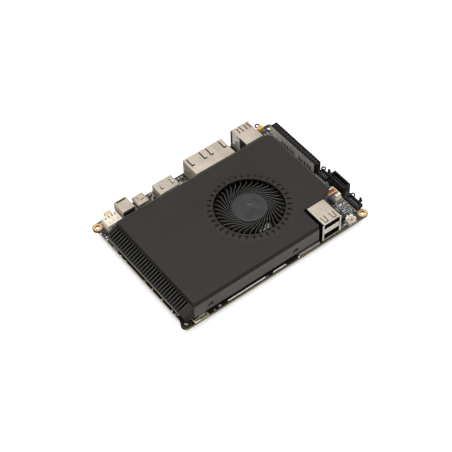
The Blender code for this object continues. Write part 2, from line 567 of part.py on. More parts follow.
# origins of the pieces that move, on their joints' axes
AXLE = (FAN_X, FAN_Y, 12.0)
PIVOTS = {"fan_rotor": AXLE, "fan_magnet": AXLE, "fan_shaft": AXLE, "ribbon_lock": (23.7, -49.5, 0.95), "button_cap": (63.4, 50.9, 1.7)}


def finish():
    """Give every object its own material, and round pieces smooth shading with sharp corners."""
    for look, names in MADE_OF.items():
        colour, rough, metal = FINISHES[look]
        for name in names:
            mat = bpy.data.materials.new(look + "_" + name)
            mat.use_nodes = True
            shader = mat.node_tree.nodes["Principled BSDF"]
            shader.inputs["Base Color"].default_value = (*colour, 1.0)
            shader.inputs["Roughness"].default_value = rough
            shader.inputs["Metallic"].default_value = metal
            data = bpy.data.objects[name].data
            data.materials.clear()
            data.materials.append(mat)
    for name in ROUND:
        mesh = bpy.data.objects[name].data
        mesh.shade_smooth()
        mesh.set_sharp_from_angle(angle=math.radians(35))


def extent(objects):
    """Lowest and highest corner of some objects as they are evaluated, in metres."""
    dg = bpy.context.evaluated_depsgraph_get()
    lo, hi = [1e9] * 3, [-1e9] * 3
    for ob in objects:
        me = ob.evaluated_get(dg).to_mesh()
        for v in me.vertices:
            for k in range(3):
                lo[k], hi[k] = min(lo[k], v.co[k]), max(hi[k], v.co[k])
    return lo, hi


def settle():
    """Give each piece an origin, on its joint's axis or under its middle, and stand the whole on z = 0 with the middle of its box over the origin."""
    bpy.context.view_layer.update()
    lo, hi = extent(bpy.data.objects)
    shift = Vector((-(lo[0] + hi[0]) / 2, -(lo[1] + hi[1]) / 2, -lo[2]))
    seats = {}
    for ob in bpy.data.objects:
        a, b = extent([ob])
        spot = PIVOTS.get(ob.name) or [round(1000 * c, 1) for c in ((a[0] + b[0]) / 2, (a[1] + b[1]) / 2, a[2])]
        seats[ob.name] = Vector(spot) / 1000
    for ob in bpy.data.objects:
        ob.data.transform(Matrix.Translation(-seats[ob.name]))
        ob.location = seats[ob.name] + shift
    print("shift mm", [round(s * 1000, 4) for s in shift], "size mm", [round((hi[k] - lo[k]) * 1000, 3) for k in range(3)])


clear_scene()
make_board()
make_cover()
make_wall()
make_heatsink()
make_fan()
make_fan_lead()
make_chips()
make_screws()
make_ports()
make_right_side()
make_underside()
finish()
settle()
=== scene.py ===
import json
import math
import bmesh
import bpy
import numpy as np
from mathutils import Matrix, Vector


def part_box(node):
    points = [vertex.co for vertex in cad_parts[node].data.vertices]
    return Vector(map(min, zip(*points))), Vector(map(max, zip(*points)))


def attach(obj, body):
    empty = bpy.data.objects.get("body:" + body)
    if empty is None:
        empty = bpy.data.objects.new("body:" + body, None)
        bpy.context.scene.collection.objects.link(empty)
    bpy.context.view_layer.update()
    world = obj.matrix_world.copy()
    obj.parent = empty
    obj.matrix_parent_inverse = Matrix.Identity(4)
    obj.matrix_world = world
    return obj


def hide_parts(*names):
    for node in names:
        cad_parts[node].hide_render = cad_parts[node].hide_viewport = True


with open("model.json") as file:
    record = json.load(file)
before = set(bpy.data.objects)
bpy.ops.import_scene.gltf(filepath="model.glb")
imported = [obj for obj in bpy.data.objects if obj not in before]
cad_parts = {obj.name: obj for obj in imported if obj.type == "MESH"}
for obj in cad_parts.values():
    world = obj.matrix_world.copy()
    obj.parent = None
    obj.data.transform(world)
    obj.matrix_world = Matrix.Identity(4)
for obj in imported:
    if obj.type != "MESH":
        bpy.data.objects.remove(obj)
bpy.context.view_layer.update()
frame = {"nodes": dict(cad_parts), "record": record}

# Every size below is in millimetres on the board: x along the long edge,
# y towards the row of ports, z up from the component side.
MM = 0.001
board_low, board_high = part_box("circuit_board")
ORIGIN = np.array([(board_low.x + board_high.x) / 2, (board_low.y + board_high.y) / 2, board_high.z])
BOARD_T = (board_high.z - board_low.z) / MM


def span(node):
    """Lowest and highest corner of a CAD node in board millimetres."""
    low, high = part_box(node)
    return (np.array(low) - ORIGIN) / MM, (np.array(high) - ORIGIN) / MM


# ------------------------------------------------------------------ surfaces
def ring(cx, cy, r, n=32):
    """Plan of a circle, anticlockwise."""
    t = np.linspace(0, 2 * np.pi, n, endpoint=False)
    return np.column_stack([cx + r * np.cos(t), cy + r * np.sin(t)])


def inset(outline, d):
    """Each corner of an anticlockwise outline moved in by d along the mitre of its two edges."""
    before, after = outline - np.roll(outline, 1, 0), np.roll(outline, -1, 0) - outline
    n0, n1 = (np.column_stack([-e[:, 1], e[:, 0]]) / np.linalg.norm(e, axis=1)[:, None] for e in (before, after))
    mitre = (n0 + n1) / np.maximum(1 + (n0 * n1).sum(1), 0.3)[:, None]
    return outline + d * mitre


def skin(points, around=True, ends=True, closed=False):
    """Quads between neighbours of a (rows, columns, 3) array.

    around joins the last column to the first, closed joins the last row to the
    first, and ends shuts the first and last row with one flat face each.
    """
    rows, cols = points.shape[:2]
    k = np.arange(rows * cols).reshape(rows, cols)
    if closed:
        k, ends = np.vstack([k, k[:1]]), False
    here, nxt = (k, np.roll(k, -1, 1)) if around else (k[:, :-1], k[:, 1:])
    faces = np.stack([here[:-1], nxt[:-1], nxt[1:], here[1:]], -1).reshape(-1, 4).tolist()
    if ends:
        faces += [k[0, ::-1].tolist(), k[-1].tolist()]
    return points.reshape(-1, 3), faces


def stack(outline, levels, along="z"):
    """An outline carried along an axis through (inset, height) levels, shut at both ends."""
    rows = [np.column_stack([inset(outline, d), np.full(len(outline), float(h))]) for d, h in levels]
    points, faces = skin(np.array(rows))
    order = {"z": [0, 1, 2], "x": [2, 0, 1], "y": [0, 2, 1]}[along]
    if along == "y":
        faces = [f[::-1] for f in faces]
    return points[:, order], faces


def slab(x0, x1, y0, y1, z0, z1, edge=0.1):
    """A block with its top and bottom edges cut by edge."""
    e = min(edge, (z1 - z0) / 3)
    return stack(np.array([(x0, y0), (x1, y0), (x1, y1), (x0, y1)], float),
                 [(e, z0), (0, z0 + e), (0, z1 - e), (e, z1)])


def block(*sides):
    """A block with sharp edges, as the cuts are."""
    return slab(*sides, edge=0.001)


def bricks(boxes, cut=0.08):
    """Many boxes (x0, x1, y0, y1, z0, z1) at once, eight-cornered in plan, with every edge cut by up to cut."""
    b = np.atleast_2d(np.asarray(boxes, float))
    mid, half = (b[:, 1::2] + b[:, ::2]) / 2, (b[:, 1::2] - b[:, ::2]) / 2
    c = np.minimum(cut, half.min(1) * 0.4)[:, None, None]
    sign = np.array([(1, -1), (1, -1), (1, 1), (1, 1), (-1, 1), (-1, 1), (-1, -1), (-1, -1)], float)
    held = np.array([(1, 0), (0, 1), (0, 1), (1, 0), (1, 0), (0, 1), (0, 1), (1, 0)], float)
    plan = sign[None] * (half[:, None, :2] - c * held[None])
    level = [(1, -1, 0), (0, -1, 1), (0, 1, -1), (1, 1, 0)]
    rows = []
    for pull, side, up in level:
        p = plan - sign[None] * c * pull
        z = side * half[:, None, 2:] + up * c
        rows.append(np.concatenate([p, np.broadcast_to(z, p.shape[:2] + (1,))], 2))
    points = np.stack(rows, 1) + mid[:, None, None]
    one = skin(points[0])[1]
    faces = [[i + 32 * k for i in f] for k in range(len(b)) for f in one]
    return points.reshape(-1, 3), faces


def strip(a, b, half):
    """Plan of a straight strip from a to b, half wide on either side."""
    a, b = np.array(a), np.array(b)
    d = b - a
    n = np.array([-d[1], d[0]]) / np.linalg.norm(d) * half
    return np.array([a + n, a - n, b - n, b + n])


def turned(profile, cx=0.0, cy=0.0, n=32, closed=False):
    """A profile of (radius, height) turned about an upright line; closed joins its two ends."""
    profile = np.asarray(profile, float)
    t = np.linspace(0, 2 * np.pi, n, endpoint=False)
    r, z = profile[:, :1], np.repeat(profile[:, 1:], n, 1)
    return skin(np.stack([cx + r * np.cos(t), cy + r * np.sin(t), z], -1), closed=closed)


def copies(part, offsets):
    """One part at each offset."""
    points, faces = part
    offsets = np.atleast_2d(np.asarray(offsets, float))
    if offsets.shape[1] == 2:
        offsets = np.column_stack([offsets, np.zeros(len(offsets))])
    moved = (points[None] + offsets[:, None]).reshape(-1, 3)
    return moved, [[i + len(points) * k for i in f] for k in range(len(offsets)) for f in faces]


def tube(route, r, n=12):
    """A circle of radius r carried along a route smoothed between its points, shut at both ends."""
    route = np.asarray(route, float)
    s = np.linspace(0, len(route) - 1, (len(route) - 1) * 6 + 1)
    k = np.clip(s.astype(int), 0, len(route) - 2)
    t = (s - k)[:, None]
    p = np.vstack([2 * route[0] - route[1], route, 2 * route[-1] - route[-2]])
    a, b, c, d = p[k], p[k + 1], p[k + 2], p[k + 3]
    path = 0.5 * (2 * b + (c - a) * t + (2 * a - 5 * b + 4 * c - d) * t ** 2 + (3 * b - a - 3 * c + d) * t ** 3)
    ahead = np.gradient(path, axis=0)
    ahead /= np.linalg.norm(ahead, axis=1)[:, None]
    side = np.cross(ahead, [0.0, 0.02, 1.0])
    side /= np.linalg.norm(side, axis=1)[:, None]
    up = np.cross(side, ahead)
    q = np.linspace(0, 2 * np.pi, n, endpoint=False)[None, :, None]
    return skin(path[:, None] + r * (np.cos(q) * up[:, None] + np.sin(q) * side[:, None]))


def joined(parts):
    """Several parts as one list of points and faces."""
    points, faces, start = [], [], 0
    for p, f in parts:
        points.append(p)
        faces += [[i + start for i in g] for g in f]
        start += len(p)
    return np.vstack(points), faces


def finished(ob, coat, edge, corner=32):
    """Smooth shading that breaks at corners, rounded edges where edge is given, and the finish."""
    ob.data.materials.clear()
    ob.data.materials.append(coat)
    ob.data.shade_smooth()
    if edge:
        bevel = ob.modifiers.new("edges", "BEVEL")
        bevel.width, bevel.segments = edge * MM, 2
        bevel.limit_method, bevel.angle_limit = "ANGLE", math.radians(corner)
        bevel.harden_normals = True
    else:
        ob.data.set_sharp_from_angle(angle=math.radians(corner))
    return ob


def placed(name, data):
    """A new object for a mesh, a lamp or a camera, linked to the scene."""
    ob = bpy.data.objects.new(name, data)
    bpy.context.scene.collection.objects.link(ob)
    return ob


def meshed(name, points, faces):
    """A new object from points in board millimetres and faces."""
    mesh = bpy.data.meshes.new(name)
    mesh.from_pydata((points * MM + ORIGIN).tolist(), [], faces)
    return placed(name, mesh)


BODY_OF = {node: body for body, nodes in frame["record"]["behaviour"]["bodies"].items() for node in nodes}


def piece(name, parts, coat, body="board", stands_for=(), edge=0.0, corner=32):
    """Parts in board millimetres, made one named object that rides on a body, hiding the nodes it stands for."""
    ob = meshed(name, *joined(parts if isinstance(parts, list) else [parts]))
    ob.data.validate()
    finished(ob, coat, edge, corner)
    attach(ob, body)
    if stands_for:
        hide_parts(*stands_for)
    return ob


def merged(source, target):
    """Writes a mesh to another with doubled corners joined and the triangles of each flat face merged."""
    work = bmesh.new()
    work.from_mesh(source)
    bmesh.ops.remove_doubles(work, verts=work.verts, dist=2e-6)
    bmesh.ops.dissolve_limit(work, angle_limit=0.01, verts=work.verts, edges=work.edges)
    work.to_mesh(target)
    work.free()


def refined(node, coat, edge=0.12, cuts=()):
    """A node's own solid with its triangles merged to flat faces, openings cut through it and edges rounded."""
    name = node + "_finished"
    ob = placed(name, bpy.data.meshes.new(name))
    merged(frame["nodes"][node].data, ob.data)
    tools = [meshed("tool", *part) for part in cuts]
    for tool in tools:
        mod = ob.modifiers.new("cut", "BOOLEAN")
        mod.operation, mod.solver, mod.object = "DIFFERENCE", "EXACT", tool
    if tools:
        graph = bpy.context.evaluated_depsgraph_get()
        made = bpy.data.meshes.new_from_object(ob.evaluated_get(graph))
        ob.modifiers.clear()
        ob.data = made
        ob.data.name = name
        for tool in tools:
            bpy.data.objects.remove(tool)
        merged(made, made)
    finished(ob, coat, edge)
    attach(ob, BODY_OF[node])
    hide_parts(node)
    return ob


# ----------------------------------------------------------------- finishes
def linear(code):
    """An sRGB hex colour turned to linear light, with full alpha."""
    c = np.array([int(code[k:k + 2], 16) for k in (1, 3, 5)]) / 255
    return (*np.where(c <= 0.04045, c / 12.92, ((c + 0.055) / 1.055) ** 2.4).tolist(), 1.0)


def put(tree, kind, sockets=None, **fields):
    """Adds a node, sets its fields, and fills its sockets with values or other nodes' outputs."""
    node = tree.nodes.new("ShaderNode" + kind)
    for key, value in fields.items():
        setattr(node, key, value)
    for key, value in (sockets or {}).items():
        if isinstance(value, bpy.types.NodeSocket):
            tree.links.new(value, node.inputs[key])
        else:
            node.inputs[key].default_value = value
    return node


def calc(tree, operation, *values):
    """One Math node's result."""
    return put(tree, "Math", dict(enumerate(values)), operation=operation).outputs[0]


def ramp(tree, value, low, high, to_low=0.0, to_high=1.0):
    """A value mapped from one range to another and held at its ends."""
    return put(tree, "MapRange", {"Value": value, "From Min": low, "From Max": high,
                                  "To Min": to_low, "To Max": to_high}).outputs[0]


def blend(tree, share, first, second):
    """Two colours, or hex codes, mixed by share."""
    first, second = (linear(c) if isinstance(c, str) else c for c in (first, second))
    return put(tree, "Mix", {0: share, 6: first, 7: second}, data_type="RGBA").outputs[2]


def begin(name):
    """A new material: its tree, its shader and its Object coordinates."""
    mat = bpy.data.materials.new(name)
    mat.use_nodes = True
    tree = mat.node_tree
    return mat, tree, tree.nodes["Principled BSDF"], put(tree, "TexCoord").outputs["Object"]


def surface(name, dark, light, rough, metal=0.0, grain=0.2, depth=0.003, patch=3, swing=0.08,
            edge_wear_and_highlight=None, edge_band=0.12, stretch=(1, 1, 1), ior=None):
    """A moulded, plated, coated or rolled finish.

    Two colours drift into each other over patches of patch millimetres, the
    roughness swings with them, grain millimetres wide stands depth
    millimetres proud, and the paler colour given for the edges, partly rubbed
    wear and partly painted highlight, is laid where the rounded normal leaves
    the face's own.
    """
    mat, tree, shader, place = begin(name)
    if stretch != (1, 1, 1):
        place = put(tree, "Mapping", {"Vector": place, "Scale": stretch}).outputs[0]
    drift = put(tree, "TexNoise", {"Vector": place, "Scale": 1 / (patch * MM), "Detail": 3.0,
        "Roughness": 0.55}).outputs["Fac"]
    fine = put(tree, "TexNoise", {"Vector": place, "Scale": 1 / (grain * MM), "Detail": 2.0}).outputs["Fac"]
    fade = put(tree, "MapRange", {"Value": drift, "From Min": 0.28, "From Max": 0.72},
               interpolation_type="SMOOTHSTEP").outputs[0]
    colour = blend(tree, fade, dark, light)
    speck = ramp(tree, fine, 0.3, 0.7, 0.9, 1.08)
    colour = put(tree, "VectorMath", {0: colour, "Scale": speck}, operation="SCALE").outputs[0]
    # paler edges: partly rubbed wear, partly painted highlight of rounded edges catching the light
    if edge_wear_and_highlight:
        soft = put(tree, "Bevel", {"Radius": edge_band * MM}, samples=3).outputs[0]
        flat = put(tree, "NewGeometry").outputs["Normal"]
        along = put(tree, "VectorMath", {0: soft, 1: flat}, operation="DOT_PRODUCT").outputs["Value"]
        broken = ramp(tree, fine, 0.25, 0.6, 0.35, 1.0)
        edge = calc(tree, "MULTIPLY", ramp(tree, along, 0.995, 0.9), broken)
        colour = blend(tree, edge, colour, edge_wear_and_highlight)
    tree.links.new(colour, shader.inputs["Base Color"])
    dull = ramp(tree, drift, 0.3, 0.7, max(rough - swing, 0.03), min(rough + swing, 1.0))
    tree.links.new(dull, shader.inputs["Roughness"])
    bump = put(tree, "Bump", {"Height": fine, "Distance": depth * MM, "Strength": 1.0})
    tree.links.new(bump.outputs[0], shader.inputs["Normal"])
    shader.inputs["Metallic"].default_value = metal
    if ior:
        shader.inputs["IOR"].default_value = ior
    return mat


# Powder-coated steel: a matte charcoal skin with a fine orange-peel grain.
POWDER_COAT = surface("powder_coated_steel", "#1f1a15", "#26201a", 0.5, grain=0.35, depth=0.004, patch=22, swing=0.05,
                      edge_wear_and_highlight="#5a5650", edge_band=0.25, ior=1.36)
# Pale grey steel for the bead along the cover's back and right edge: a painted highlight of the rounded rim.
RIM_PAINTED_HIGHLIGHT = surface("cover_edge_painted_highlight", "#6b6863", "#8d8983", 0.4, metal=0.3, grain=0.4, depth=0.002, patch=12,
                   swing=0.1)
# Anodised aluminium, dark grey: even, slightly metallic, with a drawn grain along the wall.
GREY_ANODISED = surface("grey_anodised_aluminium", "#62605e", "#6e6c69", 0.5, metal=0.35, grain=0.3, patch=14,
                        swing=0.06, edge_wear_and_highlight="#8d8a86", stretch=(0.25, 0.25, 1))
# The rail under the fins' front edge, brushed bare.
RAIL_GREY = surface("brushed_rail", "#6f6d68", "#85827c", 0.45, metal=0.4, patch=7, stretch=(1, 0.2, 1))
# Black anodised aluminium: satin; the fins' paler edges are the hems below, painted paler as highlight.
FIN_BLACK = surface("black_anodised_fins", "#060605", "#0b0b09", 0.6, patch=9, ior=1.3)
# The folded front edges of the fins: the same black, painted paler as the highlight they catch.
HEM_PAINTED_HIGHLIGHT = surface("fin_hems_painted_highlight", "#2a2924", "#34332d", 0.5, ior=1.4)
# The same finish on plates and tabs.
BLACK_ANODISED = surface("black_anodised_aluminium", "#1c1c1a", "#262622", 0.42, metal=0.25, patch=9, edge_wear_and_highlight="#6d6b5f")
# Mill-finish aluminium: bright, with faint rolling lines.
BARE_ALUMINIUM = surface("mill_aluminium", "#8f9192", "#a8a9a9", 0.38, metal=1.0, grain=0.25, patch=8, edge_wear_and_highlight="#d0d0ce",
    stretch=(0.1, 1, 1))
# Matt tin plate over rolled steel: warm silver, faint rolling lines, dull handling marks.
TIN_PLATE = surface("matt_tin_plate", "#b5aa9a", "#c2b8a8", 0.55, metal=0.45, grain=0.22, patch=5, swing=0.07,
                    edge_wear_and_highlight="#efe8dd", edge_band=0.1, stretch=(1, 0.25, 1))
# Flash-gold edges of the card socket: cream.
CREAM_TIN = surface("cream_gold_plate", "#cfc08f", "#e6dab2", 0.35, metal=0.5, depth=0.002, patch=2)
# Nickel-plated steel: brighter and smoother than tin.
NICKEL = surface("nickel_plated_steel", "#c4c0b8", "#dcd8d0", 0.24, metal=1.0, grain=0.3, depth=0.002, patch=4,
                 swing=0.06, edge_wear_and_highlight="#f6f3ec")
# Phosphor bronze spring: brownish gold.
BRONZE = surface("phosphor_bronze", "#8a6a45", "#a5825a", 0.38, metal=1.0, depth=0.002, patch=2, edge_wear_and_highlight="#c9a877")
# Yellow zinc and brass: standoffs and posts.
BRASS = surface("machined_brass", "#9b7b3c", "#b8964f", 0.3, metal=1.0, edge_wear_and_highlight="#dcc07a", stretch=(1, 1, 6))
# Immersion gold on copper: the screw pads, warm and slightly orange at the rim.
GOLD = surface("immersion_gold", "#d3a35c", "#eac78e", 0.34, metal=0.8, grain=0.25, depth=0.004, patch=1.2,
               edge_wear_and_highlight="#f3ddb0")
# Tin-lead fillet: bright solder, slightly rippled.
SOLDER = surface("reflowed_solder", "#bdbdbb", "#dededb", 0.3, metal=0.55, grain=0.4, depth=0.01, patch=1.0)
# Glass-filled nylon and LCP mouldings, black: satin with a faint flow grain.
BLACK_NYLON = surface("black_glass_filled_nylon", "#0f0e0d", "#171514", 0.5, grain=0.18, depth=0.004, edge_wear_and_highlight="#3d3a37",
                      edge_band=0.15, ior=1.38)
# The header's moulding: matt, slightly brown.
HEADER_BLACK = surface("black_header_moulding", "#15110f", "#1d1815", 0.55, grain=0.18, depth=0.004, edge_wear_and_highlight="#3d3a37",
                       ior=1.4)
# Dead black sheets inside the USB mouths: painted shade of the cavities.
CAVITY_SHADE_BLACK = surface("cavity_painted_shade_black", "#0a0a0a", "#101010", 0.5, grain=0.18, ior=1.35)
# PBT fan moulding: black, semi-gloss.
FAN_PBT = surface("black_pbt_moulding", "#1d1c1b", "#272524", 0.34, grain=0.25, depth=0.002, patch=5, edge_wear_and_highlight="#6b6763",
                  edge_band=0.15, ior=1.5)
# The same moulding on the blades: slightly paler, with a painted highlight along their edges.
BLADE_PBT_PAINTED_HIGHLIGHT = surface("pbt_blades_painted_highlight", "#262523", "#32302e", 0.3, grain=0.25, depth=0.001, patch=5, edge_wear_and_highlight="#8a8781",
                    edge_band=0.14, ior=1.5)
# Natural nylon: ivory, slightly waxy.
IVORY_NYLON = surface("ivory_nylon", "#e3d8c3", "#f2eadb", 0.4, depth=0.004, patch=2.5, edge_wear_and_highlight="#fffaf0", ior=1.53)
# Natural LCP: tan, dull.
TAN_LCP = surface("tan_lcp_moulding", "#d3b98a", "#e4cfa6", 0.46, depth=0.004, patch=2.5, edge_wear_and_highlight="#ead2ab")
# Yellow moulding of the side button.
YELLOW_NYLON = surface("yellow_nylon", "#c99a45", "#e0b562", 0.44, depth=0.004, patch=2, edge_wear_and_highlight="#f2d48e")
# Grey moulding of the ribbon lock: mid grey with a ribbed look.
GREY_LCP = surface("grey_lcp_moulding", "#77736e", "#98948e", 0.42, grain=0.25, depth=0.01, patch=1.5, edge_wear_and_highlight="#c8c4bd")
# Red tongue plastic.
RED_LCP = surface("red_lcp_moulding", "#5f1f1f", "#7c2a28", 0.42, edge_wear_and_highlight="#a8504a")
# Transfer-moulded epoxy: chips, charcoal, dull.
EPOXY = surface("epoxy_chip_body", "#202022", "#2a2a2c", 0.55, grain=0.12, depth=0.006, patch=2, edge_wear_and_highlight="#4a4a4c")
# Silicon die: dark mirror.
SILICON = surface("polished_silicon", "#2c3038", "#3a3f49", 0.12, metal=0.6, grain=0.5, depth=0.0005, patch=4)
# Sintered ferrite: dark, slightly rough.
FERRITE = surface("sintered_ferrite", "#191816", "#22201e", 0.6, grain=0.15, depth=0.01, patch=1.5, edge_wear_and_highlight="#55524d")
# Barium titanate capacitor body: brown-tan ceramic.
CERAMIC = surface("capacitor_ceramic", "#8a7a68", "#a8967f", 0.5, grain=0.1, depth=0.004, patch=0.8)
# Resistor glass: near black.
RESISTOR = surface("resistor_glass", "#17181b", "#212226", 0.35, grain=0.1, patch=0.7)
# Silkscreen ink: white, thin, a little broken.
SILK = surface("white_legend_ink", "#c9ccce", "#e6e8e9", 0.6, grain=0.12, depth=0.004, patch=0.8)
# Printed paper label beside the header: pale grey.
GREY_LABEL = surface("grey_label", "#d3cfc8", "#e4e0d9", 0.5, grain=0.3)
# White moulding: strips along the front edge.
WHITE_LCP = surface("white_lcp_moulding", "#e6e4e0", "#f6f5f2", 0.4, patch=1.5)
# Blue ink dot on a chip part.
BLUE_PART = surface("blue_ink_dot", "#1d5fae", "#2f7fd0", 0.4, grain=0.1, depth=0.002, patch=0.6)
# Tin painted near white: a painted reflection of the pale surroundings on the can faces that look towards them.
TIN_PAINTED_REFLECTION = surface("tin_plate_painted_reflection", "#f1eee8", "#fbf9f5", 0.22, metal=0.6, grain=0.3, depth=0.002, patch=4)
# Pale connector plastic and chip-part bodies.
LAVENDER = surface("pale_connector_plastic", "#8d8a97", "#a9a6b3", 0.45, grain=0.15, patch=1.5)


def wire_jacket(name, dark, light):
    """PVC insulation: soft sheen, smooth."""
    return surface(name, dark, light, 0.36, grain=0.3, patch=1.5, ior=1.53)


WIRE = {
    "black": wire_jacket("pvc_black", "#141414", "#1f1f1f"),
    "navy": wire_jacket("pvc_navy", "#2b2f63", "#3a3f7c"),
    "yellow": wire_jacket("pvc_yellow", "#e6b23a", "#f3c95a"),
    "red": wire_jacket("pvc_red", "#c8342a", "#dd4c3c"),
}


TRACE_SCALE = 1 / (0.8 * MM) / 6.2832  # bands per metre of the copper runs, over the wave texture's own turn


def laminate():
    """Glass-epoxy board: black solder mask over etched copper on the faces, bare olive-gold laminate at the rim.

    Copper runs under the mask read as slightly paler, slightly raised lines
    0.2 mm wide; the rim shows the glass layers as thin level lines, with painted
    shade on the lower half of the long sides and the middle of the short sides.
    """
    mat, tree, shader, place = begin("masked_glass_epoxy_board")
    axes = put(tree, "SeparateXYZ", {0: place}).outputs
    facing = put(tree, "SeparateXYZ", {0: put(tree, "NewGeometry").outputs["Normal"]}).outputs
    flat = calc(tree, "GREATER_THAN", calc(tree, "ABSOLUTE", facing["Z"]), 0.5)
    endways = calc(tree, "GREATER_THAN", calc(tree, "ABSOLUTE", facing["X"]), 0.7)
    # copper runs: level or upright in each cell, in about half of the cells
    cell = put(tree, "TexVoronoi", {"Vector": place, "Scale": 1 / (7 * MM)}, distance="MANHATTAN").outputs["Color"]
    pick = put(tree, "SeparateColor", {0: cell}).outputs
    waves = [ramp(tree, put(tree, "TexWave", {"Vector": place, "Scale": TRACE_SCALE},
        bands_direction=axis).outputs["Fac"],
                  0.62, 0.74) for axis in "XY"]
    which = calc(tree, "GREATER_THAN", pick[0], 0.5)
    lines = put(tree, "Mix", {0: which, 2: waves[0], 3: waves[1]}, data_type="FLOAT").outputs[0]
    traces = calc(tree, "MULTIPLY", lines, calc(tree, "GREATER_THAN", pick[1], 0.55))
    cloud = put(tree, "TexNoise", {"Vector": place, "Scale": 1 / (9 * MM), "Detail": 3.0}).outputs["Fac"]
    mask = blend(tree, cloud, "#141415", "#1c1c1e")
    mask = blend(tree, calc(tree, "MULTIPLY", traces, 0.55), mask, "#303033")
    # rim: glass layers, the long sides darker on their lower half as painted shade, a dark core on the short ones
    height = ramp(tree, axes["Z"], float(board_low.z), float(board_high.z))
    layers = put(tree, "Mapping", {"Vector": place, "Scale": (1, 1, 9)}).outputs[0]
    glass = put(tree, "TexNoise", {"Vector": layers, "Scale": 1 / (0.9 * MM), "Detail": 2.0}).outputs["Fac"]
    long_rim = blend(tree, ramp(tree, height, 0.42, 0.55), "#4a3b26", blend(tree, glass, "#8f8250", "#b8a96c"))
    core = ramp(tree, calc(tree, "ABSOLUTE", calc(tree, "SUBTRACT", height, 0.52)), 0.06, 0.1)
    short_rim = blend(tree, core, "#5b4a30", blend(tree, glass, "#c9b27e", "#e9dab0"))
    # the middle of each short side, under the parts that overhang it, darkened as painted shade
    off_middle = calc(tree, "ABSOLUTE", calc(tree, "SUBTRACT", axes["Y"], float(ORIGIN[1])))
    short_rim = blend(tree, calc(tree, "LESS_THAN", off_middle, 43 * MM), "#3b3526", short_rim)
    rim = blend(tree, endways, long_rim, short_rim)
    rim = blend(tree, ramp(tree, height, 0.93, 0.97), rim, "#1b1b1d")
    tree.links.new(blend(tree, flat, rim, mask), shader.inputs["Base Color"])
    tree.links.new(put(tree, "Mix", {0: flat, 2: 0.7, 3: 0.32}, data_type="FLOAT").outputs[0],
                   shader.inputs["Roughness"])
    raise_by = calc(tree, "ADD", traces, glass)
    tree.links.new(put(tree, "Bump", {"Height": raise_by, "Distance": 0.02 * MM, "Strength": 0.8}).outputs[0],
                   shader.inputs["Normal"])
    return mat


LAMINATE = laminate()

# ------------------------------------------------------------------- board
refined("circuit_board", LAMINATE, edge=0.0)

HOLES = {(sx, sy): (sx * 69.5, sy * 47.7) for sx in (-1, 1) for sy in (-1, 1)}


def screw_pad(cx, cy, top):
    """A flat ring of plated copper with its bore lined, on the upper or lower face."""
    outer, bore = 3.15, 1.58
    z, out = (0.0, 0.05) if top else (-BOARD_T, -0.05)
    profile = [(bore, z - out * 8), (bore, z + out), (outer - 0.05, z + out), (outer, z)]
    return turned(profile if not top else profile[::-1], cx, cy, 48, closed=True)


piece("screw_pads", [screw_pad(*HOLES[k], top) for k in ((-1, 1), (1, -1)) for top in (True, False)], GOLD)
piece("screw_pads_plain", [screw_pad(*HOLES[k], False) for k in ((1, 1), (-1, -1))], GOLD)

# ------------------------------------------------------------------- cover
COVER_TOP, COVER_T, SKIRT = span("cover")[1][2], 1.5, 3.5
C_LEFT, C_RIGHT, C_FRONT, C_BACK, C_OUT = -63.8, 56.8, -48.4, 31.8, 0.7
FAN = (np.array(span("fan_shaft")[0]) + np.array(span("fan_shaft")[1]))[:2] / 2
FAN_HOLE = 22.8
RING_IN, RING_OUT = 23.4, 27.3
TICKS = 37


def cover_plan(out, notch=None):
    """Plan of the cover grown outwards by out, with the cut-away corner round the double socket."""
    cut = out if notch is None else notch
    l, r, f, b, rad = C_LEFT - out, C_RIGHT + out, C_FRONT - out, C_BACK + out, 4.0
    t = np.radians(np.linspace(0, 90, 9))
    arc = np.column_stack([r - rad + rad * np.cos(t), b - rad + rad * np.sin(t)])
    corners = [(l, f), (32.2 + cut, f), (32.2 + cut, -33.0 - cut), (48.4 + cut * 0.4, -33.0 - cut),
               (r, -28.4 - cut * 0.6)]
    return np.vstack([corners, arc, [(l, b)]])


def ray_hits(plan, angles):
    """Distance from the fan's centre to a closed plan along each angle."""
    a = plan - FAN
    b = np.roll(plan, -1, 0) - FAN
    d = np.column_stack([np.cos(angles), np.sin(angles)])
    e = b - a
    det = d[:, :1] * -e[None, :, 1] + e[None, :, 0] * d[:, 1:]
    det = np.where(np.abs(det) < 1e-9, 1e-9, det)
    t = (a[None, :, 0] * -e[None, :, 1] + e[None, :, 0] * a[None, :, 1]) / det
    s = (d[:, :1] * a[None, :, 1] - d[:, 1:] * a[None, :, 0]) / det
    ok = (t > 0) & (s >= -1e-6) & (s <= 1 + 1e-6)
    return np.where(ok, t, 1e9).min(1)


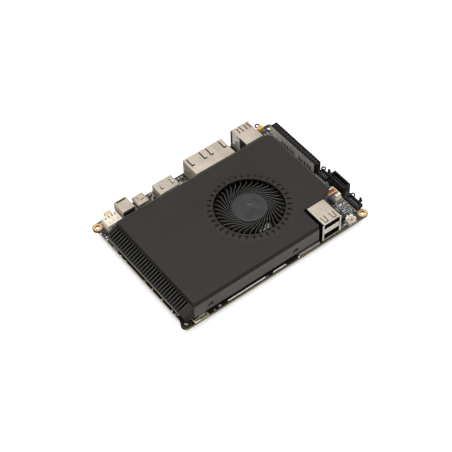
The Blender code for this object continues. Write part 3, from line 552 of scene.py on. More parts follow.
def cover_shell():
    """The pressed top: rows run from under the fan opening's lip, across the top, over the rim and
    down the skirt, then back inside.

    Each row is a set of distances along the same fan of directions from the
    fan's centre. Between opening and rim the height is the flat top less the
    ring's shallow seat, its radial flutes and one long crease.
    """
    plan0 = cover_plan(0.0)
    turn0 = np.arctan2(plan0[:, 1] - FAN[1], plan0[:, 0] - FAN[0])
    even = np.linspace(-np.pi, np.pi, TICKS * 20, endpoint=False)
    crease = np.linspace(-np.pi + 0.02, -np.pi + 0.42, 90)
    angles = np.unique(np.round(np.concatenate([even, turn0, turn0 - 0.004, turn0 + 0.004, crease]), 6))
    d = np.column_stack([np.cos(angles), np.sin(angles)])
    edge = ray_hits(plan0, angles)
    low = ray_hits(cover_plan(C_OUT, 0.0), angles)
    inner = ray_hits(cover_plan(-COVER_T), angles)
    n = len(angles)
    near = np.array([0, 0.12, 0.3, 0.5, 0.75, 1.1, 1.6, 2.2, 2.8, 3.4, 3.9, 4.3, 4.6, 4.85, 5.1, 5.4, 5.8])
    rows_r, rows_z = [], []

    def add(r, z):
        rows_r.append(np.broadcast_to(r, n).astype(float))
        rows_z.append(np.broadcast_to(z, n).astype(float))

    lip = 0.35
    add(FAN_HOLE, COVER_TOP - COVER_T)
    add(FAN_HOLE, COVER_TOP - lip)
    add(FAN_HOLE + lip * 0.3, COVER_TOP - lip * 0.3)
    for k in near:
        add(FAN_HOLE + lip + k, COVER_TOP)
    start = FAN_HOLE + lip + near[-1]
    for k in np.linspace(0, 1, 46)[1:]:
        add(start + (edge - 0.35 - start) * k, COVER_TOP)
    add(edge - 0.12, COVER_TOP - 0.05)
    add(edge - 0.02, COVER_TOP - 0.16)
    add(edge + 0.03, COVER_TOP - 0.34)
    for k in (0.35, 0.7):
        add(edge + (low - edge) * k, COVER_TOP - 0.35 - (SKIRT - 0.45) * k)
    add(low, COVER_TOP - SKIRT + 0.1)
    add(low - 0.1, COVER_TOP - SKIRT)
    add(inner + (low - edge), COVER_TOP - SKIRT)
    add(inner, COVER_TOP - COVER_T)
    r, z = np.array(rows_r), np.array(rows_z)
    x, y = FAN[0] + r * d[:, 0], FAN[1] + r * d[:, 1]
    top = z > COVER_TOP - 0.01
    # shallow seat of the ring, then one flute between each pair of ribs
    seat = np.clip((r - RING_IN) / 0.3, 0, 1) * np.clip((RING_OUT - r) / 0.3, 0, 1)
    phase = np.abs(((angles * TICKS / (2 * np.pi)) % 1.0) - 0.5)[None, :]
    within = np.clip((r - RING_IN - 0.3) / 0.3, 0, 1) * np.clip((RING_OUT - 0.5 - r) / 0.4, 0, 1)
    groove = np.clip(3.0 - phase / 0.055, 0, 1) * within
    rim_line = np.clip(1.4 - np.abs(r - RING_OUT) / 0.26, 0, 1)
    crease_line = np.exp(-((y + 16.2) / 0.35) ** 2) * np.clip((x + 62) / 3, 0, 1) * np.clip((-19.5 - x) / 3, 0, 1)
    z = np.where(top, z - 0.1 * seat - 1.2 * groove - 0.35 * rim_line - 0.14 * crease_line, z)
    return skin(np.stack([x, y, z], -1), closed=True)


def cover_ends():
    """The two cheeks beside the fins and the arm and foot over the front left screw hole."""
    low = COVER_TOP - SKIRT
    cheek = np.array([(C_LEFT + 0.6, low + 0.4), (C_LEFT - 0.6, low + 0.4), (-71.9, 9.9), (-71.9, 9.2),
                      (C_LEFT - 0.8, 9.2), (C_LEFT - 0.8, low + 0.05), (C_LEFT + 0.6, low + 0.05)])
    front = np.array([(C_LEFT + 0.6, low + 0.4), (C_LEFT - 0.6, low + 0.4), (-71.9, 9.9), (-71.9, 8.6), (-69.5, 3.4),
                      (C_LEFT - 0.8, 3.4), (C_LEFT - 0.8, low + 0.05), (C_LEFT + 0.6, low + 0.05)])
    fx, fy = HOLES[(-1, -1)]
    arm = np.array([(-69.6, 3.6), (-69.6, 0.5), (-67.6, 0.5), (-66.4, 3.6)])
    foot = turned([(1.6, 0.3), (3.25, 0.3), (3.4, 0.45), (3.4, 1.15), (3.25, 1.3), (2.1, 1.3), (1.6, 1.1)], fx, fy, 40,
                  closed=True)
    return [
        stack(cheek, [(0.06, 30.9), (0, 30.96), (0, 32.14), (0.06, 32.2)], "y"),
        stack(front, [(0.1, -49.0), (0, -48.9), (0, -44.7), (0.1, -44.6)], "y"),
        stack(arm, [(0.06, -48.2), (0, -48.1), (0, -44.9), (0.06, -44.8)], "y"),
        foot,
    ]


piece("cover_pressing", [cover_shell()], POWDER_COAT, stands_for=["cover"], corner=24)
piece("cover_cheeks", cover_ends(), POWDER_COAT, edge=0.08)


def rim_line():
    """The pressing's upper back and right edge, painted pale as its highlight: a fine round bead along the plan."""
    plan = cover_plan(-0.05)
    z = np.full((len(plan), 1), COVER_TOP - 0.12)
    run = np.hstack([plan, z])
    return [tube(run[4:14], 0.13, 8), tube([run[-1], run[13] + (0.1, 0, 0)], 0.1, 8)]


# a pale bead: painted highlight on the cover's rim
piece("cover_rim_painted_highlight", rim_line(), RIM_PAINTED_HIGHLIGHT)
refined("side_wall", GREY_ANODISED, edge=0.1)


def clip_marks():
    """Two bent tabs let into the front wall, each a pair of short slanted blades."""
    y = span("side_wall")[0][1]
    parts = []
    for x in (-51.9, 13.4):
        for dx, z in ((-1.4, 6.9), (0.0, 7.6), (1.2, 6.9)):
            blade = np.array([(x + dx - 0.6, z - 1.0), (x + dx + 0.5, z - 0.9), (x + dx + 0.9, z + 0.95),
                (x + dx - 0.1, z + 0.85)])
            parts.append(stack(blade, [(0.05, y - 0.16), (0, y - 0.1), (0, y + 0.2), (0.02, y + 0.3)], "y"))
    return parts


piece("wall_clip_tabs", clip_marks(), FIN_BLACK)

refined("fin_pack", FIN_BLACK, edge=0.0)
piece("fin_rail_edge", [slab(-72.45, -72.15, -44.0, 30.2, 7.9, 8.86, edge=0.04)], RAIL_GREY)


def fin_hems():
    """The folded edge of each fin: a flat strip lying on its slope, a fin's pitch apart."""
    slope = np.array([(-72.1, 8.75), (-71.9, 8.75), (-64.5, 12.4), (-64.5, 12.62), (-72.1, 9.0)])
    return [stack(slope, [(0.02, y - 0.52), (0, y - 0.48), (0, y + 0.48), (0.02, y + 0.52)], "y")
            for y in -43.9 + 2.38 * np.arange(32)]


# the hems' paler black is painted highlight on the fins' edges
piece("fin_hems", fin_hems(), HEM_PAINTED_HIGHLIGHT)
refined("heatsink_base", BARE_ALUMINIUM, edge=0.15)

# --------------------------------------------------------------------- fan
HUB_TOP, BLADES = span("fan_rotor")[1][2], 37
BLADE_FOOT, BLADE_HEAD, BLADE_OUT = 9.5, 15.2, 22.2


def fan_hub():
    """Cup of the hub: a flat top with a rolled rim, a sunk centre and a small boss, and a plain skirt."""
    t = HUB_TOP
    profile = [(0.02, t - 0.12), (0.35, t - 0.12), (0.5, t - 0.02), (0.62, t - 0.3), (1.3, t - 0.34), (1.7, t - 0.1),
               (3.0, t - 0.08), (9.9, t - 0.03), (10.9, t),
               (11.25, t - 0.06), (11.5, t - 0.25), (11.6, t - 0.6), (11.6, BLADE_FOOT), (10.3, BLADE_FOOT),
               (10.3, t - 1.2), (0.02, t - 1.2)]
    return turned(profile[::-1], FAN[0], FAN[1], 96)


def fan_blades():
    """Blades that leave the hub at a slant and straighten out at their tips, thickest in the middle of
    the chord, with rounded heads.
    """
    t = np.linspace(0, 1, 13)
    r = 11.3 + (BLADE_OUT - 0.25 - 11.3) * t
    a = -0.70 * (1 - (1 - t) ** 2)
    mid = np.column_stack([r * np.cos(a), r * np.sin(a)])
    run = np.gradient(mid, axis=0)
    side = np.column_stack([-run[:, 1], run[:, 0]]) / np.linalg.norm(run, axis=1)[:, None]
    half = 0.24 * (0.75 + 0.25 * np.sin(np.pi * t))
    head = BLADE_HEAD - 0.25 * np.clip((t - 0.8) / 0.2, 0, 1) ** 2
    levels = [(1.0, np.full(13, BLADE_FOOT)), (1.0, head - 0.18), (0.65, head - 0.04), (0.15, head)]
    columns = []
    for sign in (-1, 1):
        for w, z in (levels if sign < 0 else levels[::-1]):
            columns.append(np.column_stack([mid + sign * side * (half * w)[:, None], z]))
    one, faces = skin(np.array(columns).transpose(1, 0, 2)[:, ::-1])
    k = np.arange(BLADES) * 2 * np.pi / BLADES
    c, s = np.cos(k)[:, None], np.sin(k)[:, None]
    x = one[:, 0] * c - one[:, 1] * s + FAN[0]
    y = one[:, 0] * s + one[:, 1] * c + FAN[1]
    z = np.broadcast_to(one[:, 2], x.shape)
    return np.stack([x, y, z], -1).reshape(-1, 3), [[i + len(one) * j for i in f] for j in range(BLADES)
        for f in faces]


hoop = turned([(BLADE_OUT - 1.1, 9.4), (BLADE_OUT, 9.4), (BLADE_OUT, 9.9), (BLADE_OUT - 0.1, 10.0),
               (BLADE_OUT - 1.1, 10.0)], FAN[0], FAN[1], 120, closed=True)
piece("fan_hub", [fan_hub(), hoop], FAN_PBT, body="rotor", stands_for=["fan_rotor"])
piece("fan_blades", [fan_blades()], BLADE_PBT_PAINTED_HIGHLIGHT, body="rotor")
refined("fan_base", BLACK_ANODISED, edge=0.0)
piece("fan_floor_label", [slab(4.6, 12.8, -26.0, -22.8, 9.01, 9.07, edge=0.01)], WHITE_LCP)
for part, coat in ("bearing", BRASS), ("stator", BRONZE), ("magnet", FERRITE), ("shaft", NICKEL):
    refined("fan_" + part, coat, edge=0.0)

# ------------------------------------------------------------- fan's leads
(plug_low, plug_high) = span("fan_plug")
LEAD_COLOURS = ("navy", "yellow", "red", "black")
LEAD_PITCH, LEAD_R = 1.25, 0.38
px, py = 64.0, (plug_low[1] + plug_high[1]) / 2
for k, colour in enumerate(LEAD_COLOURS):
    s = k - 1.5
    route = [(px + 1.0, py + LEAD_PITCH * s, 6.35), (px - 1.4, py + LEAD_PITCH * s, 6.3), (59.0, -26.5 + 1.2 * s, 6.4),
             (53.5, -27.2 + 1.15 * s, 7.2),
             (46.0, -29.2 + 1.15 * s, 7.7), (33.0, -29.1 + 1.15 * s, 7.7), (26.2, -28.0 + 1.15 * s, 7.7),
             (20.0 + 0.85 * s, -22.6 + 0.85 * s, 7.7),
             (15.4 + 0.85 * s, -18.0 + 0.85 * s, 7.7)]
    node = "fan_lead_%d" % (k + 1)
    piece("fan_lead_" + colour, [tube(route, LEAD_R, 14)], WIRE[colour], stands_for=[node])

# ------------------------------------------------------------------- chips
refined("cpu_package", LAMINATE, edge=0.0)
refined("cpu_die", SILICON, edge=0.0)
for k in (1, 2):
    refined("memory_chip_%d" % k, EPOXY, edge=0.08)
    refined("inductor_%d" % k, FERRITE, edge=0.2)
for k in (1, 2, 3, 4):
    refined("cooler_screw_%d" % k, NICKEL, edge=0.1)
refined("backplate", BLACK_ANODISED)

# ------------------------------------------------------------------- ports
MOUTH_Y = 50.0


def slot_l(x, y, z0, z1):
    """L-shaped spring slot: a long leg towards the front and a short foot to the right."""
    length, foot, w = 6.6, 2.5, 1.0
    return [block(x, x + w, y - length, y, z0, z1), block(x, x + foot, y - length - 0.9, y - length + 0.2, z0, z1)]


lan_low, lan_high = span("lan_shell")
cuts = []
for x in (1.6, 11.7, 17.0, 27.4):
    cuts += slot_l(x, 49.2, lan_high[2] - 1.1, lan_high[2] + 0.5)
refined("lan_shell", TIN_PLATE, cuts=cuts)
for k in (1, 2):
    refined("lan_core_%d" % k, BLACK_NYLON, edge=0.06)


def lan_fingers():
    """Bronze spring fingers on the left wall and gold contacts inside the two network bays."""
    parts = [bricks([(lan_low[0] - 0.22, lan_low[0] + 0.05, y, y + 2.6, z, z + 0.9)
                     for y, z in ((45.2, 9.6), (44.6, 5.4), (41.0, 7.4))])]
    for x in (0.7, 16.3):
        parts.append(bricks([(x + 2.9 + 1.02 * k, x + 3.25 + 1.02 * k, 40.0, 47.0, 9.9, 10.15) for k in range(8)],
            0.03))
    return parts


piece("lan_springs", lan_fingers(), BRONZE)


def spring_cuts(centres, y_mouth, z, inward, half=0.3):
    """Spring fingers cut free of a can's roof: two slits that draw together towards the mouth and one
    across their near ends.
    """
    tools = []
    for cx in centres:
        near, far = y_mouth + inward * 1.0, y_mouth + inward * 6.2
        corners = [[(cx + side * 1.1, near), (cx + side * 1.5, far)]
                   for side in (-1, 1)] + [[(cx - 1.3, near), (cx + 1.3, near)]]
        tools += [stack(strip(a, b, half), [(0, z - 0.8), (0, z + 0.6)]) for a, b in corners]
    return tools


def usb_can(tag, mouth, inward, centres, half=0.3):
    """One double socket's can with its roof springs; returns the x of its two sides."""
    low, high = span(tag + "_shell")
    refined(tag + "_shell", TIN_PLATE, edge=0.1, cuts=spring_cuts([low[0] + 0.9 + c for c in centres], mouth, high[2],
        inward, half))
    return low[0] + 0.9, high[0] - 0.9


u2 = usb_can("usb2", -MOUTH_Y, 1, (3.3, 9.8))
u3 = usb_can("usb3", MOUTH_Y, -1, (4.2, 10.2), 0.42)
refined("usb2_core", BLACK_NYLON, edge=0.06)
refined("usb3_core", RED_LCP, edge=0.06)
mid = (0.3 + 15.75) / 2
piece("usb2_divider", [slab(u2[0] + 0.5, u2[1] - 0.5, -49.85, -49.4, mid - 2.1, mid + 2.0, edge=0.12)], IVORY_NYLON)


def lining(a, b, y0, y1):
    """Two sides and a floor inside a can, dead black as painted shade of the cavity."""
    return [(a + 0.37, a + 0.5, y0, y1, 0.7, 15.3), (b - 0.5, b - 0.37, y0, y1, 0.7, 15.3),
            (a + 0.4, b - 0.4, y0, y1, 0.67, 0.85)]


a, b = u2
# dead black sheets inside the can with a roof and a back wall, and one on the can's left side, all painted shade
piece("usb2_cavity_shade", [bricks([*lining(a, b, -49.6, -39.0), (a + 0.4, b - 0.4, -49.4, -39.0, 15.1, 15.33),
                              (a + 0.4, b - 0.4, -40.5, -40.0, 0.8, 15.2)], 0.02),
                      bricks([(a - 0.35, a - 0.02, -49.7, -33.5, 0.5, 15.4)], 0.05)], CAVITY_SHADE_BLACK)
# the lip's front faces in near-white tin: painted reflection
piece("usb2_lip_face", [bricks([(a - 0.85, a + 0.3, -50.2, -50.0, 0.9, 14.9),
    (b - 0.3, b + 0.85, -50.2, -50.0, 0.9, 14.9), (a, b, -50.2, -50.0, 15.35, 15.72),
    (a, b, -50.2, -50.0, 0.32, 0.75)], 0.03)], TIN_PAINTED_REFLECTION)
a, b = u3
# the can's left side in near-white tin: painted reflection of the pale surroundings
piece("usb3_side", [bricks([(a - 0.1, a - 0.01, 41.0, 49.7, 4.2, 15.3)], 0.02)], TIN_PAINTED_REFLECTION)
# dark marks on the can's left side: slot openings, the flange's back and the rear of the side, painted shade
piece("usb3_side_painted_shade", [bricks([(a - 0.16, a - 0.05, 41.2, 44.2, 13.6, 14.3),
    (a - 0.16, a - 0.05, 43.2, 46.2, 8.0, 8.7), (a - 0.9, a - 0.1, 49.8, 50.1, 4.0, 15.0),
    (a - 0.16, a - 0.02, 34.0, 41.0, 0.6, 15.0)], 0.03)], RESISTOR)
# dead black sheets inside the can: painted shade of the cavity
piece("usb3_cavity_shade", [bricks(lining(a, b, 39.0, 49.6), 0.02)], CAVITY_SHADE_BLACK)
piece("usb3_roof_lining", [slab(a + 0.5, b - 0.5, 40.0, 49.4, 14.7, 15.1, edge=0.05)], RED_LCP)


def tongue_contacts(sides, y_mouth, inward):
    """Four flat contact strips on the underside of each of a can's two tongues."""
    y0, y1 = sorted((y_mouth + inward * 1.5, y_mouth + inward * 9.0))
    middles = sum(sides) / 2 + 2.4 * (np.arange(4) - 1.5)
    return bricks([(x - 0.5, x + 0.5, y0, y1, z - 0.16, z + 0.12) for z in (mid - 3.8, mid + 4.0) for x in middles],
                  0.04)


piece("usb2_contacts", [tongue_contacts(u2, -MOUTH_Y, 1)], GOLD)
piece("usb3_contacts", [tongue_contacts(u3, MOUTH_Y, -1)], GOLD)

hdmi_top = span("hdmi_shell")[1][2]
pits = [stack(ring(x, y, 0.5, 14), [(0, hdmi_top - 0.6), (0, hdmi_top + 0.3)])
        for x, y in ((-21.3, 47.6), (-13.1, 47.2))]
slits = [block(x, x + 2.0, y, y + 0.6, hdmi_top - 0.6, hdmi_top + 0.4) for x, y in ((-21.9, 43.2), (-13.7, 42.9))]
slits += [block(x, x + 0.6, 43.6, 46.2, hdmi_top - 0.6, hdmi_top + 0.4) for x in (-21.9, -13.7)]
refined("hdmi_shell", TIN_PLATE, cuts=pits + slits)
refined("hdmi_tongue", BLACK_NYLON, edge=0.05)

usb_c_top = span("usb_c_shell")[1][2]
refined("usb_c_shell", TIN_PLATE, edge=0.08, cuts=[
    stack(ring(-37.1, 49.5, 0.45, 14), [(0, usb_c_top - 0.5), (0, usb_c_top + 0.3)]),
    block(-36.2, -33.2, 46.8, 47.35, usb_c_top - 0.5, usb_c_top + 0.3)])
refined("usb_c_tongue", BLACK_NYLON, edge=0.05)

jack_top = span("jack_shell")[1][2]
refined("jack_shell", TIN_PLATE, cuts=[block(-52.7, -45.9, 48.9, 50.1, jack_top - 0.8, jack_top + 0.4)])
refined("jack_body", BLACK_NYLON)

power_top = span("power_input")[1][2]
key_cuts = [block(x, x + 0.9, 44.9, 49.0, power_top - 2.2, power_top + 0.4) for x in (-64.4, -61.9, -59.4, -57.2)]
key_cuts += [block(x, x + 0.7, 40.4, 42.6, power_top - 0.8, power_top + 0.4) for x in (-63.9, -60.8, -57.9)]
key_cuts += [block(-67, -65.3, 41.0, 43.5, 2.0, 4.2)]
refined("power_input", IVORY_NYLON, edge=0.15, cuts=key_cuts)
refined("power_input_tab", TAN_LCP, edge=0.15)
piece("power_input_pins", [bricks([(x - 0.3, x + 0.3, 42.6, 47.6, 2.9, 3.5) for x in (-63.4, -60.6, -57.8)], 0.05),
                           bricks([(x - 0.5, x + 0.5, 39.2, 39.6, 0.3, 4.4) for x in (-63.4, -60.6, -57.8)], 0.08)],
                           NICKEL)

refined("button_body", YELLOW_NYLON)
refined("button_cap", BLACK_NYLON, edge=0.1)
refined("card_socket", NICKEL, edge=0.06, cuts=[block(-64.0, -57.0, -50.2, -49.4, 1.2, 2.2),
    block(-63.0, -62.5, -48.6, -44.0, 1.2, 2.2), block(-59.0, -58.5, -48.6, -44.0, 1.2, 2.2)])
piece("card_socket_edges", [bricks([(-65.75, -65.3, -51.8, -42.9, 1.5, 1.95), (-65.7, -55.4, -52.0, -51.55, 1.5, 1.95),
    (-65.0, -57.5, -49.9, -49.6, 1.7, 1.9), (-55.6, -55.2, -51.8, -49.8, 1.5, 1.9)], 0.04)], CREAM_TIN)
refined("ribbon_socket", BLACK_NYLON, edge=0.06)
refined("ribbon_lock", GREY_LCP, edge=0.06)
refined("small_socket", IVORY_NYLON, cuts=[block(57.6, 60.3, -48.6, -47.2, 2.2, 4.5),
    block(58.5, 59.4, -46.9, -45.9, 1.0, 4.5), block(55.9, 57.0, -48.4, -47.4, 2.4, 4.4),
    block(60.9, 62.2, -48.4, -47.4, 2.4, 4.4)])
piece("small_socket_pins", [bricks([(58.0, 58.5, -50.0, -46.6, 1.6, 2.1), (59.4, 59.9, -50.0, -46.6, 1.6, 2.1)],
    0.05)], BRONZE)
refined("choke", FERRITE, edge=0.2)
refined("fan_header", IVORY_NYLON, edge=0.1)
lead_ys = [py + LEAD_PITCH * (k - 1.5) for k in range(4)]
refined("fan_plug", IVORY_NYLON, cuts=[block(62.4, 63.6, y - 0.3, y + 0.3, 4.9, 5.9) for y in lead_ys])

PIN_PITCH, FIRST_PIN = 2.54, (67.96, 41.17)
PINS = [(FIRST_PIN[0] + PIN_PITCH * c, FIRST_PIN[1] - PIN_PITCH * k) for c in range(2) for k in range(18)]
funnels = copies(block(-0.8, 0.8, -0.8, 0.8, 8.0, 9.0), PINS)
refined("pin_header", HEADER_BLACK, edge=0.08, cuts=[funnels])
for k in (1, 2):
    low, high = span("latch_socket_%d" % k)
    rows = np.arange(low[1] + 1.0, high[1] - 2.6, 1.25)
    refined("latch_socket_%d" % k, BLACK_NYLON, cuts=[block(69.0, 71.6, low[1] + 0.9, high[1] - 2.2, 1.6, 3.4)])
    piece("latch_socket_%d_pins" % k, [bricks([(66.6, 67.7, y - 0.2, y + 0.2, 0.05, 0.4) for y in rows], 0.04),
        bricks([(70.0, 70.4, y - 0.16, y + 0.16, 1.4, 1.9) for y in rows], 0.04)], SOLDER)
refined("drive_socket", BLACK_NYLON, edge=0.15)
for k in (1, 2, 3):
    refined("card_slot_%d" % k, BLACK_NYLON)
    refined("card_post_%d" % k, BRASS, edge=0.08)

# ---------------------------------------------------- header label and pins
FACE = span("pin_header")[0][0]
piece("header_side_label", [slab(FACE - 0.06, FACE + 0.01, -2.6, 43.2, 0.9, 8.35, edge=0.01)], GREY_LABEL)
piece("header_label_edge", [slab(FACE - 0.1, FACE + 0.01, -2.6, 43.2, 8.05, 8.4, edge=0.02)], TIN_PLATE)


def header_marks():
    """Two groups of five slanted strokes low on the header's side, where the pins' shoulders show."""
    parts = []
    for start in (30.0, 12.2):
        for k in range(5):
            y = start - 2.75 * k
            stroke = np.array([(y - 1.1, 0.9), (y + 0.1, 0.9), (y + 0.9, 3.6), (y - 0.3, 3.6)])
            parts.append(stack(stroke, [(0.03, FACE - 0.16), (0, FACE - 0.12), (0, FACE - 0.02)], "x"))
    return parts


piece("header_marks", header_marks(), RESISTOR)
piece("header_patches", [bricks([(FACE - 0.14, FACE - 0.02, 36.2, 39.0, 0.9, 2.2),
    (FACE - 0.14, FACE - 0.02, 14.2, 16.0, 0.9, 2.2)], 0.03)], WHITE_LCP)


# ------------------------------------------------------------ small parts
TAKEN = []
for node in frame["nodes"]:
    low, high = span(node)
    if low[2] < 1.2 and high[2] > 0.05 and node != "circuit_board" and node != "cover":
        TAKEN.append((low[0], high[0], low[1], high[1], 1))
    if low[2] < -BOARD_T - 0.05:
        TAKEN.append((low[0], high[0], low[1], high[1], -1))


def scattered(zone, count, seed, side=1):
    """Places for small parts: (x, y, half length, half width, turned) picked at random on a
    half-millimetre grid, kept clear of every piece and of each other.
    """
    pick, out, clear = np.random.default_rng(seed), [], 0.35
    x0, x1, y0, y1 = zone
    for _ in range(count * 12):
        if len(out) >= count:
            break
        x = round(pick.uniform(x0, x1) * 2) / 2
        y = round(pick.uniform(y0, y1) * 2) / 2
        size = [(0.5, 0.25), (0.8, 0.42), (1.0, 0.6), (0.5, 0.25)][pick.integers(4)]
        lying = pick.integers(2)
        hx, hy = size if lying else size[::-1]
        if x - hx < x0 or x + hx > x1 or y - hy < y0 or y + hy > y1:
            continue
        if any(s == side and x + hx + clear > a and x - hx - clear < b and y + hy + clear > c and y - hy - clear < d
               for a, b, c, d, s in TAKEN):
            continue
        TAKEN.append((x - hx, x + hx, y - hy, y + hy, side))
        out.append((x, y, size[0], size[1], lying))
    return out


ZONES_TOP = [((-70.2, -64.5, -38, 40), 60), ((-44.5, -41, 36, 49), 6), ((-31, -25.4, 35, 50), 16),
             ((-9.8, -0.6, 33, 50), 34), ((31.3, 38.4, 34, 50), 22),
             ((53.2, 60.5, 33, 50), 26), ((60, 66.2, 30, 47), 12), ((64.2, 66.4, 4, 42), 36),
             ((57.8, 68.4, -22, 2.5), 60), ((57.8, 67.4, -44, -31.5), 46),
             ((49.6, 57, -49.5, -33.5), 26), ((-52, 14, -50.4, -49.4), 10), ((33.5, 35, -50, -44), 3),
             ((-50, 30, -40, 26), 120)]
ZONES_LOW = [((-68, 68, -48, 48), 420)]
small = []
for n, (zone, count) in enumerate(ZONES_TOP):
    small += [(*p, 1) for p in scattered(zone, count, 11 + n)]
for n, (zone, count) in enumerate(ZONES_LOW):
    small += [(*p, -1) for p in scattered(zone, count, 71 + n, side=-1)]


def chip_parts(rows):
    """Body and end-cap boxes of two-ended chip parts, lying on either face of the board."""
    r = np.array(rows, float)
    x, y, a, b, lying, side = r.T
    ex, ey = np.where(lying > 0, a, b), np.where(lying > 0, b, a)
    ux, uy = np.where(lying > 0, 1.0, 0.0), np.where(lying > 0, 0.0, 1.0)
    tall = np.where(b > 0.5, 0.9, np.where(b > 0.3, 0.65, 0.4))

    def boxes(cx, cy, hx, hy, low, high):
        z0 = np.where(side > 0, low, -BOARD_T - high)
        z1 = np.where(side > 0, high, -BOARD_T - low)
        return np.column_stack([cx - hx, cx + hx, cy - hy, cy + hy, z0, z1])

    body = boxes(x, y, ex - ux * a * 0.42, ey - uy * a * 0.42, 0.03 + 0 * x, tall)

    def ends(at, reach, over, high):
        hx, hy = (np.where(u > 0, a * reach, e + over) for u, e in ((ux, ex), (uy, ey)))
        return np.vstack([boxes(x + s * ux * a * at, y + s * uy * a * at, hx, hy, 0 * x, high) for s in (-1, 1)])

    caps = ends(0.78, 0.24, 0.02, tall + 0.02)
    pads = ends(0.95, 0.35, 0.08, 0 * x + 0.06)
    return body, caps, pads


body, caps, pads = chip_parts(small)
kinds = np.random.default_rng(5).integers(0, 3, len(body))
piece("capacitor_bodies", [bricks(body[kinds == 0], 0.05)], CERAMIC)
piece("resistor_bodies", [bricks(body[kinds == 1], 0.05)], RESISTOR)
piece("bead_bodies", [bricks(body[kinds == 2], 0.05)], LAVENDER)
piece("chip_end_caps", [bricks(caps, 0.04)], SOLDER)
piece("chip_pads", [bricks(pads, 0.02)], SOLDER)

# -------------------------------------------------------- printed legends
def legend_frames():
    """White ink outlines round the sockets: closed rectangles as four thin bars each."""
    bars, w, z0, z1 = [], 0.09, 0.0, 0.035
    for node in ("small_socket", "fan_header", "usb_c_shell", "hdmi_shell", "power_input", "button_body",
                 "latch_socket_1", "latch_socket_2"):
        low, high = span(node)
        x0, x1, y0, y1 = low[0] - 0.45, high[0] + 0.45, low[1] - 0.45, min(high[1] + 0.45, 50.8)
        y0 = max(y0, -50.8)
        bars += [(x0 - w, x1 + w, y0 - w, y0 + w, z0, z1), (x0 - w, x1 + w, y1 - w, y1 + w, z0, z1),
                 (x0 - w, x0 + w, y0, y1, z0, z1), (x1 - w, x1 + w, y0, y1, z0, z1)]
    return bars


STROKES = [((66.9, -29.2), (67.2, -33.5), 0.16), ((66.6, -33.5), (66.0, -41.6), 0.14),
           ((61.0, -36.2), (63.0, -38.4), 0.1),
           ((64.8, -36.0), (66.4, -38.6), 0.1), ((62.5, -33.6), (60.4, -36.4), 0.1)]


def legend_strokes():
    """Slanted white strokes beside the lower latch socket and the fan's socket."""
    parts = []
    for a, b, w in STROKES:
        parts.append(stack(strip(a, b, w), [(0, 0.0), (0, 0.05)]))
    return parts


piece("legend_frames", [bricks(legend_frames(), 0.01), *legend_strokes()], SILK)
piece("ink_dot", [turned([(0.75, 0.55), (0.75, 0.95), (0.6, 1.05), (0.05, 1.07)][::-1], 63.0, -40.0, 20)], BLUE_PART)
piece("lettered_chip", [slab(61.7, 64.3, -41.3, -38.7, 0.1, 0.6, edge=0.06)], EPOXY)

# parts that stand out one by one along the left edge and round the sockets
SINGLES = {
    "white": [(-71.0, 41.7, 0.5, 0.4, 0.5), (-69.8, 37.2, 0.6, 0.4, 0.5), (-70.5, 35.2, 0.4, 0.5, 0.5),
              (-70.9, 19.3, 0.3, 0.6, 0.5), (-70.9, 13.9, 0.3, 0.6, 0.5), (-66.0, 48.9, 0.5, 0.3, 0.5),
              (-70.7, -14.2, 0.4, 0.5, 0.5), (-70.6, -24.3, 0.4, 0.6, 0.5), (-70.7, -34.7, 0.4, 0.6, 0.5),
              (-70.7, -38.3, 0.5, 0.4, 0.5), (-69.6, -39.5, 0.5, 0.4, 0.5),
              (62.2, -34.3, 0.8, 0.5, 0.7), (65.1, -34.6, 0.5, 0.4, 0.6), (60.0, -44.2, 0.8, 0.5, 0.6),
              (15.0, -50.5, 0.5, 0.3, 0.9), (70.2, -2.2, 0.5, 0.4, 0.6)],
    "tan": [(-70.6, -6.4, 0.4, 1.0, 0.7), (-28.8, 49.0, 0.8, 0.5, 0.8), (-26.9, 46.6, 0.7, 0.5, 0.8),
            (-28.8, 44.7, 0.5, 0.8, 0.8), (-5.4, 48.4, 0.8, 0.5, 0.8), (-2.8, 48.1, 0.6, 0.6, 0.8),
            (-6.4, 45.4, 0.6, 0.8, 0.8), (-5.1, 42.9, 0.8, 0.5, 0.8), (65.6, -37.4, 0.9, 0.6, 0.8),
            (61.4, -31.6, 0.6, 0.4, 0.6), (66.0, -13.2, 0.6, 0.5, 0.6)],
    "lavender": [(-70.6, 25.5, 0.4, 2.5, 0.8), (-45.7, -49.5, 0.9, 0.5, 0.6), (-60.0, -48.4, 0.9, 0.5, 2.1),
                 (-57.4, -48.9, 0.6, 0.4, 2.1)],
    "black": [(-70.8, 3.0, 0.25, 6.8, 0.9), (-68.6, 40.6, 0.4, 1.5, 1.2), (68.6, -24.0, 0.2, 0.2, 0.6)],
}
for kind, coat, slot in (("white", WHITE_LCP, "cream_plastic"), ("tan", CERAMIC, "tan_plastic"),
        ("lavender", LAVENDER, "grey_plastic"), ("black", RESISTOR, "chip_body")):
    piece("single_parts_" + kind, [bricks([(x - a, x + a, y - b, y + b, 0.02, h) for x, y, a, b, h in SINGLES[kind]],
        0.06)], coat)
front = [(-39.6, -10.6, -50.05, -49.35, 0.0, 0.5), (-4.6, 5.0, -50.05, -49.35, 0.0, 0.5)]
piece("front_edge_strips", [bricks(front, 0.06)], WHITE_LCP)

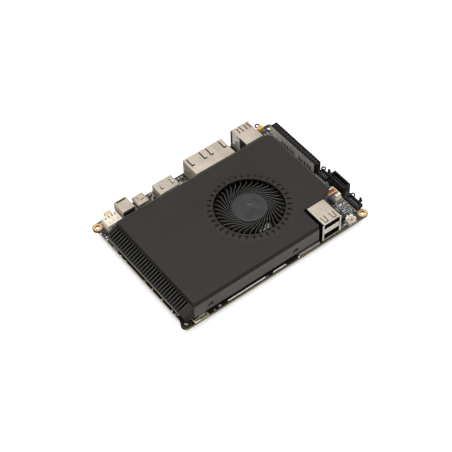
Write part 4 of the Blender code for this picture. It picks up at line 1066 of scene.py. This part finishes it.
# ------------------------------------------------------------ solder side
solder_spots = PINS + [(x, y) for x in (2.5, 5.0, 7.5, 10, 12.5, 18, 20.5, 23, 25.5, 28) for y in (36.2, 38.8)]
solder_spots += [(u[0] + 2.2 + 2.9 * k, y) for u, y1 in ((u2, -36.0), (u3, 36.0)) for k in range(4)
                 for y in (y1, y1 + (2.2 if y1 < 0 else -2.2))]
solder_spots += [(-49.5, 36.0), (-52.5, 43.0), (-46.5, 43.0), (-24.2, 47.2), (-11.0, 47.2), (-24.2, 42.0),
                 (-11.0, 42.0)]
dome = turned([(0.95, -BOARD_T + 0.02), (0.9, -BOARD_T - 0.12), (0.55, -BOARD_T - 0.35), (0.34, -BOARD_T - 0.7),
               (0.3, -BOARD_T - 1.1), (0.05, -BOARD_T - 1.18)][::-1], 0, 0, 14)
piece("solder_joints", [copies(dome, solder_spots)], SOLDER)

# ------------------------------------------------------- floor and lights
def floor():
    """A level sheet far wider than the view, its far side curving up to a wall."""
    t = np.linspace(0, 1, 25)
    y = np.concatenate([np.linspace(-6, 3.0, 8), 3.0 + 1.2 * np.sin(t * np.pi / 2)])
    z = np.concatenate([np.zeros(8), 1.2 - 1.2 * np.cos(t * np.pi / 2)])
    x = np.linspace(-6, 6, 5)
    p = np.stack([np.broadcast_to(x, (len(y), 5)), np.broadcast_to(y[:, None], (len(y), 5)),
                  np.broadcast_to(z[:, None], (len(y), 5))], -1)
    points, faces = skin(p, around=False, ends=False)
    mesh = bpy.data.meshes.new("studio_floor")
    mesh.from_pydata(points.tolist(), [], faces)
    ob = placed("studio_floor", mesh)
    mat, tree, shader, place = begin("studio_paper")
    noise = put(tree, "TexNoise", {"Vector": place, "Scale": 900.0, "Detail": 2.0}).outputs["Fac"]
    colour = blend(tree, noise, "#f6f6f6", "#fafafa")
    shader.inputs["Roughness"].default_value = 0.9
    shader.inputs["Specular IOR Level"].default_value = 0.1
    seen = put(tree, "LightPath").outputs["Is Camera Ray"]
    colour = blend(tree, seen, "#b4b2ae", colour)
    tree.links.new(colour, shader.inputs["Base Color"])
    apart = put(tree, "SeparateXYZ", {0: place}).outputs
    reach = [calc(tree, "DIVIDE", calc(tree, "ABSOLUTE", apart[axis]), half * MM)
             for axis, half in (("X", 71.0), ("Y", 50.0))]
    away = calc(tree, "MAXIMUM", reach[0], reach[1])
    glow = ramp(tree, away, 0.94, 1.02, 0.0, 0.5)
    glow = calc(tree, "MULTIPLY", glow, seen)
    shader.inputs["Emission Color"].default_value = linear("#ffffff")
    tree.links.new(glow, shader.inputs["Emission Strength"])
    mesh.materials.append(mat)
    mesh.shade_smooth()


floor()

world = bpy.data.worlds.new("soft_room")
bpy.context.scene.world = world
world.use_nodes = True
background = world.node_tree.nodes["Background"]
background.inputs["Color"].default_value = linear("#ffffff")
background.inputs["Strength"].default_value = 0.85


def softbox(name, position, target, size, watts):
    """A square area light aimed at a point."""
    lamp = bpy.data.lights.new(name, "AREA")
    lamp.shape, lamp.size, lamp.energy = "SQUARE", size, watts
    ob = placed(name, lamp)
    ob.location = position
    ob.rotation_mode = "QUATERNION"
    ob.rotation_quaternion = (Vector(target) - Vector(position)).to_track_quat("-Z", "Y")


softbox("overhead", (0.05, 0.08, 1.1), (0, 0, 0), 0.8, 5.5)

# ------------------------------------------------------------------ camera
AZIMUTH, ELEVATION, ROLL = math.radians(-35.483), math.radians(50.549), math.radians(-2.365)
DISTANCE, ACROSS, ALOFT, LENS = 834.141, -2.658, -3.802, 104.56
back = Vector((math.sin(AZIMUTH) * math.cos(ELEVATION), -math.cos(AZIMUTH) * math.cos(ELEVATION), math.sin(ELEVATION)))
level = Vector((math.cos(AZIMUTH), math.sin(AZIMUTH), 0))
lift = back.cross(level)
right = level * math.cos(ROLL) + lift * math.sin(ROLL)
up = lift * math.cos(ROLL) - level * math.sin(ROLL)
eye = Vector(ORIGIN) + (right * ACROSS + up * ALOFT + back * DISTANCE) * MM
camera_data = bpy.data.cameras.new("camera")
camera_data.lens, camera_data.sensor_width = LENS, 36.0
camera_data.clip_start, camera_data.clip_end = 0.01, 20
camera = placed("camera", camera_data)
camera.matrix_world = Matrix.Translation(eye) @ Matrix((right, up, back)).transposed().to_4x4()
bpy.context.scene.camera = camera
bpy.context.scene.view_settings.view_transform = "Standard"
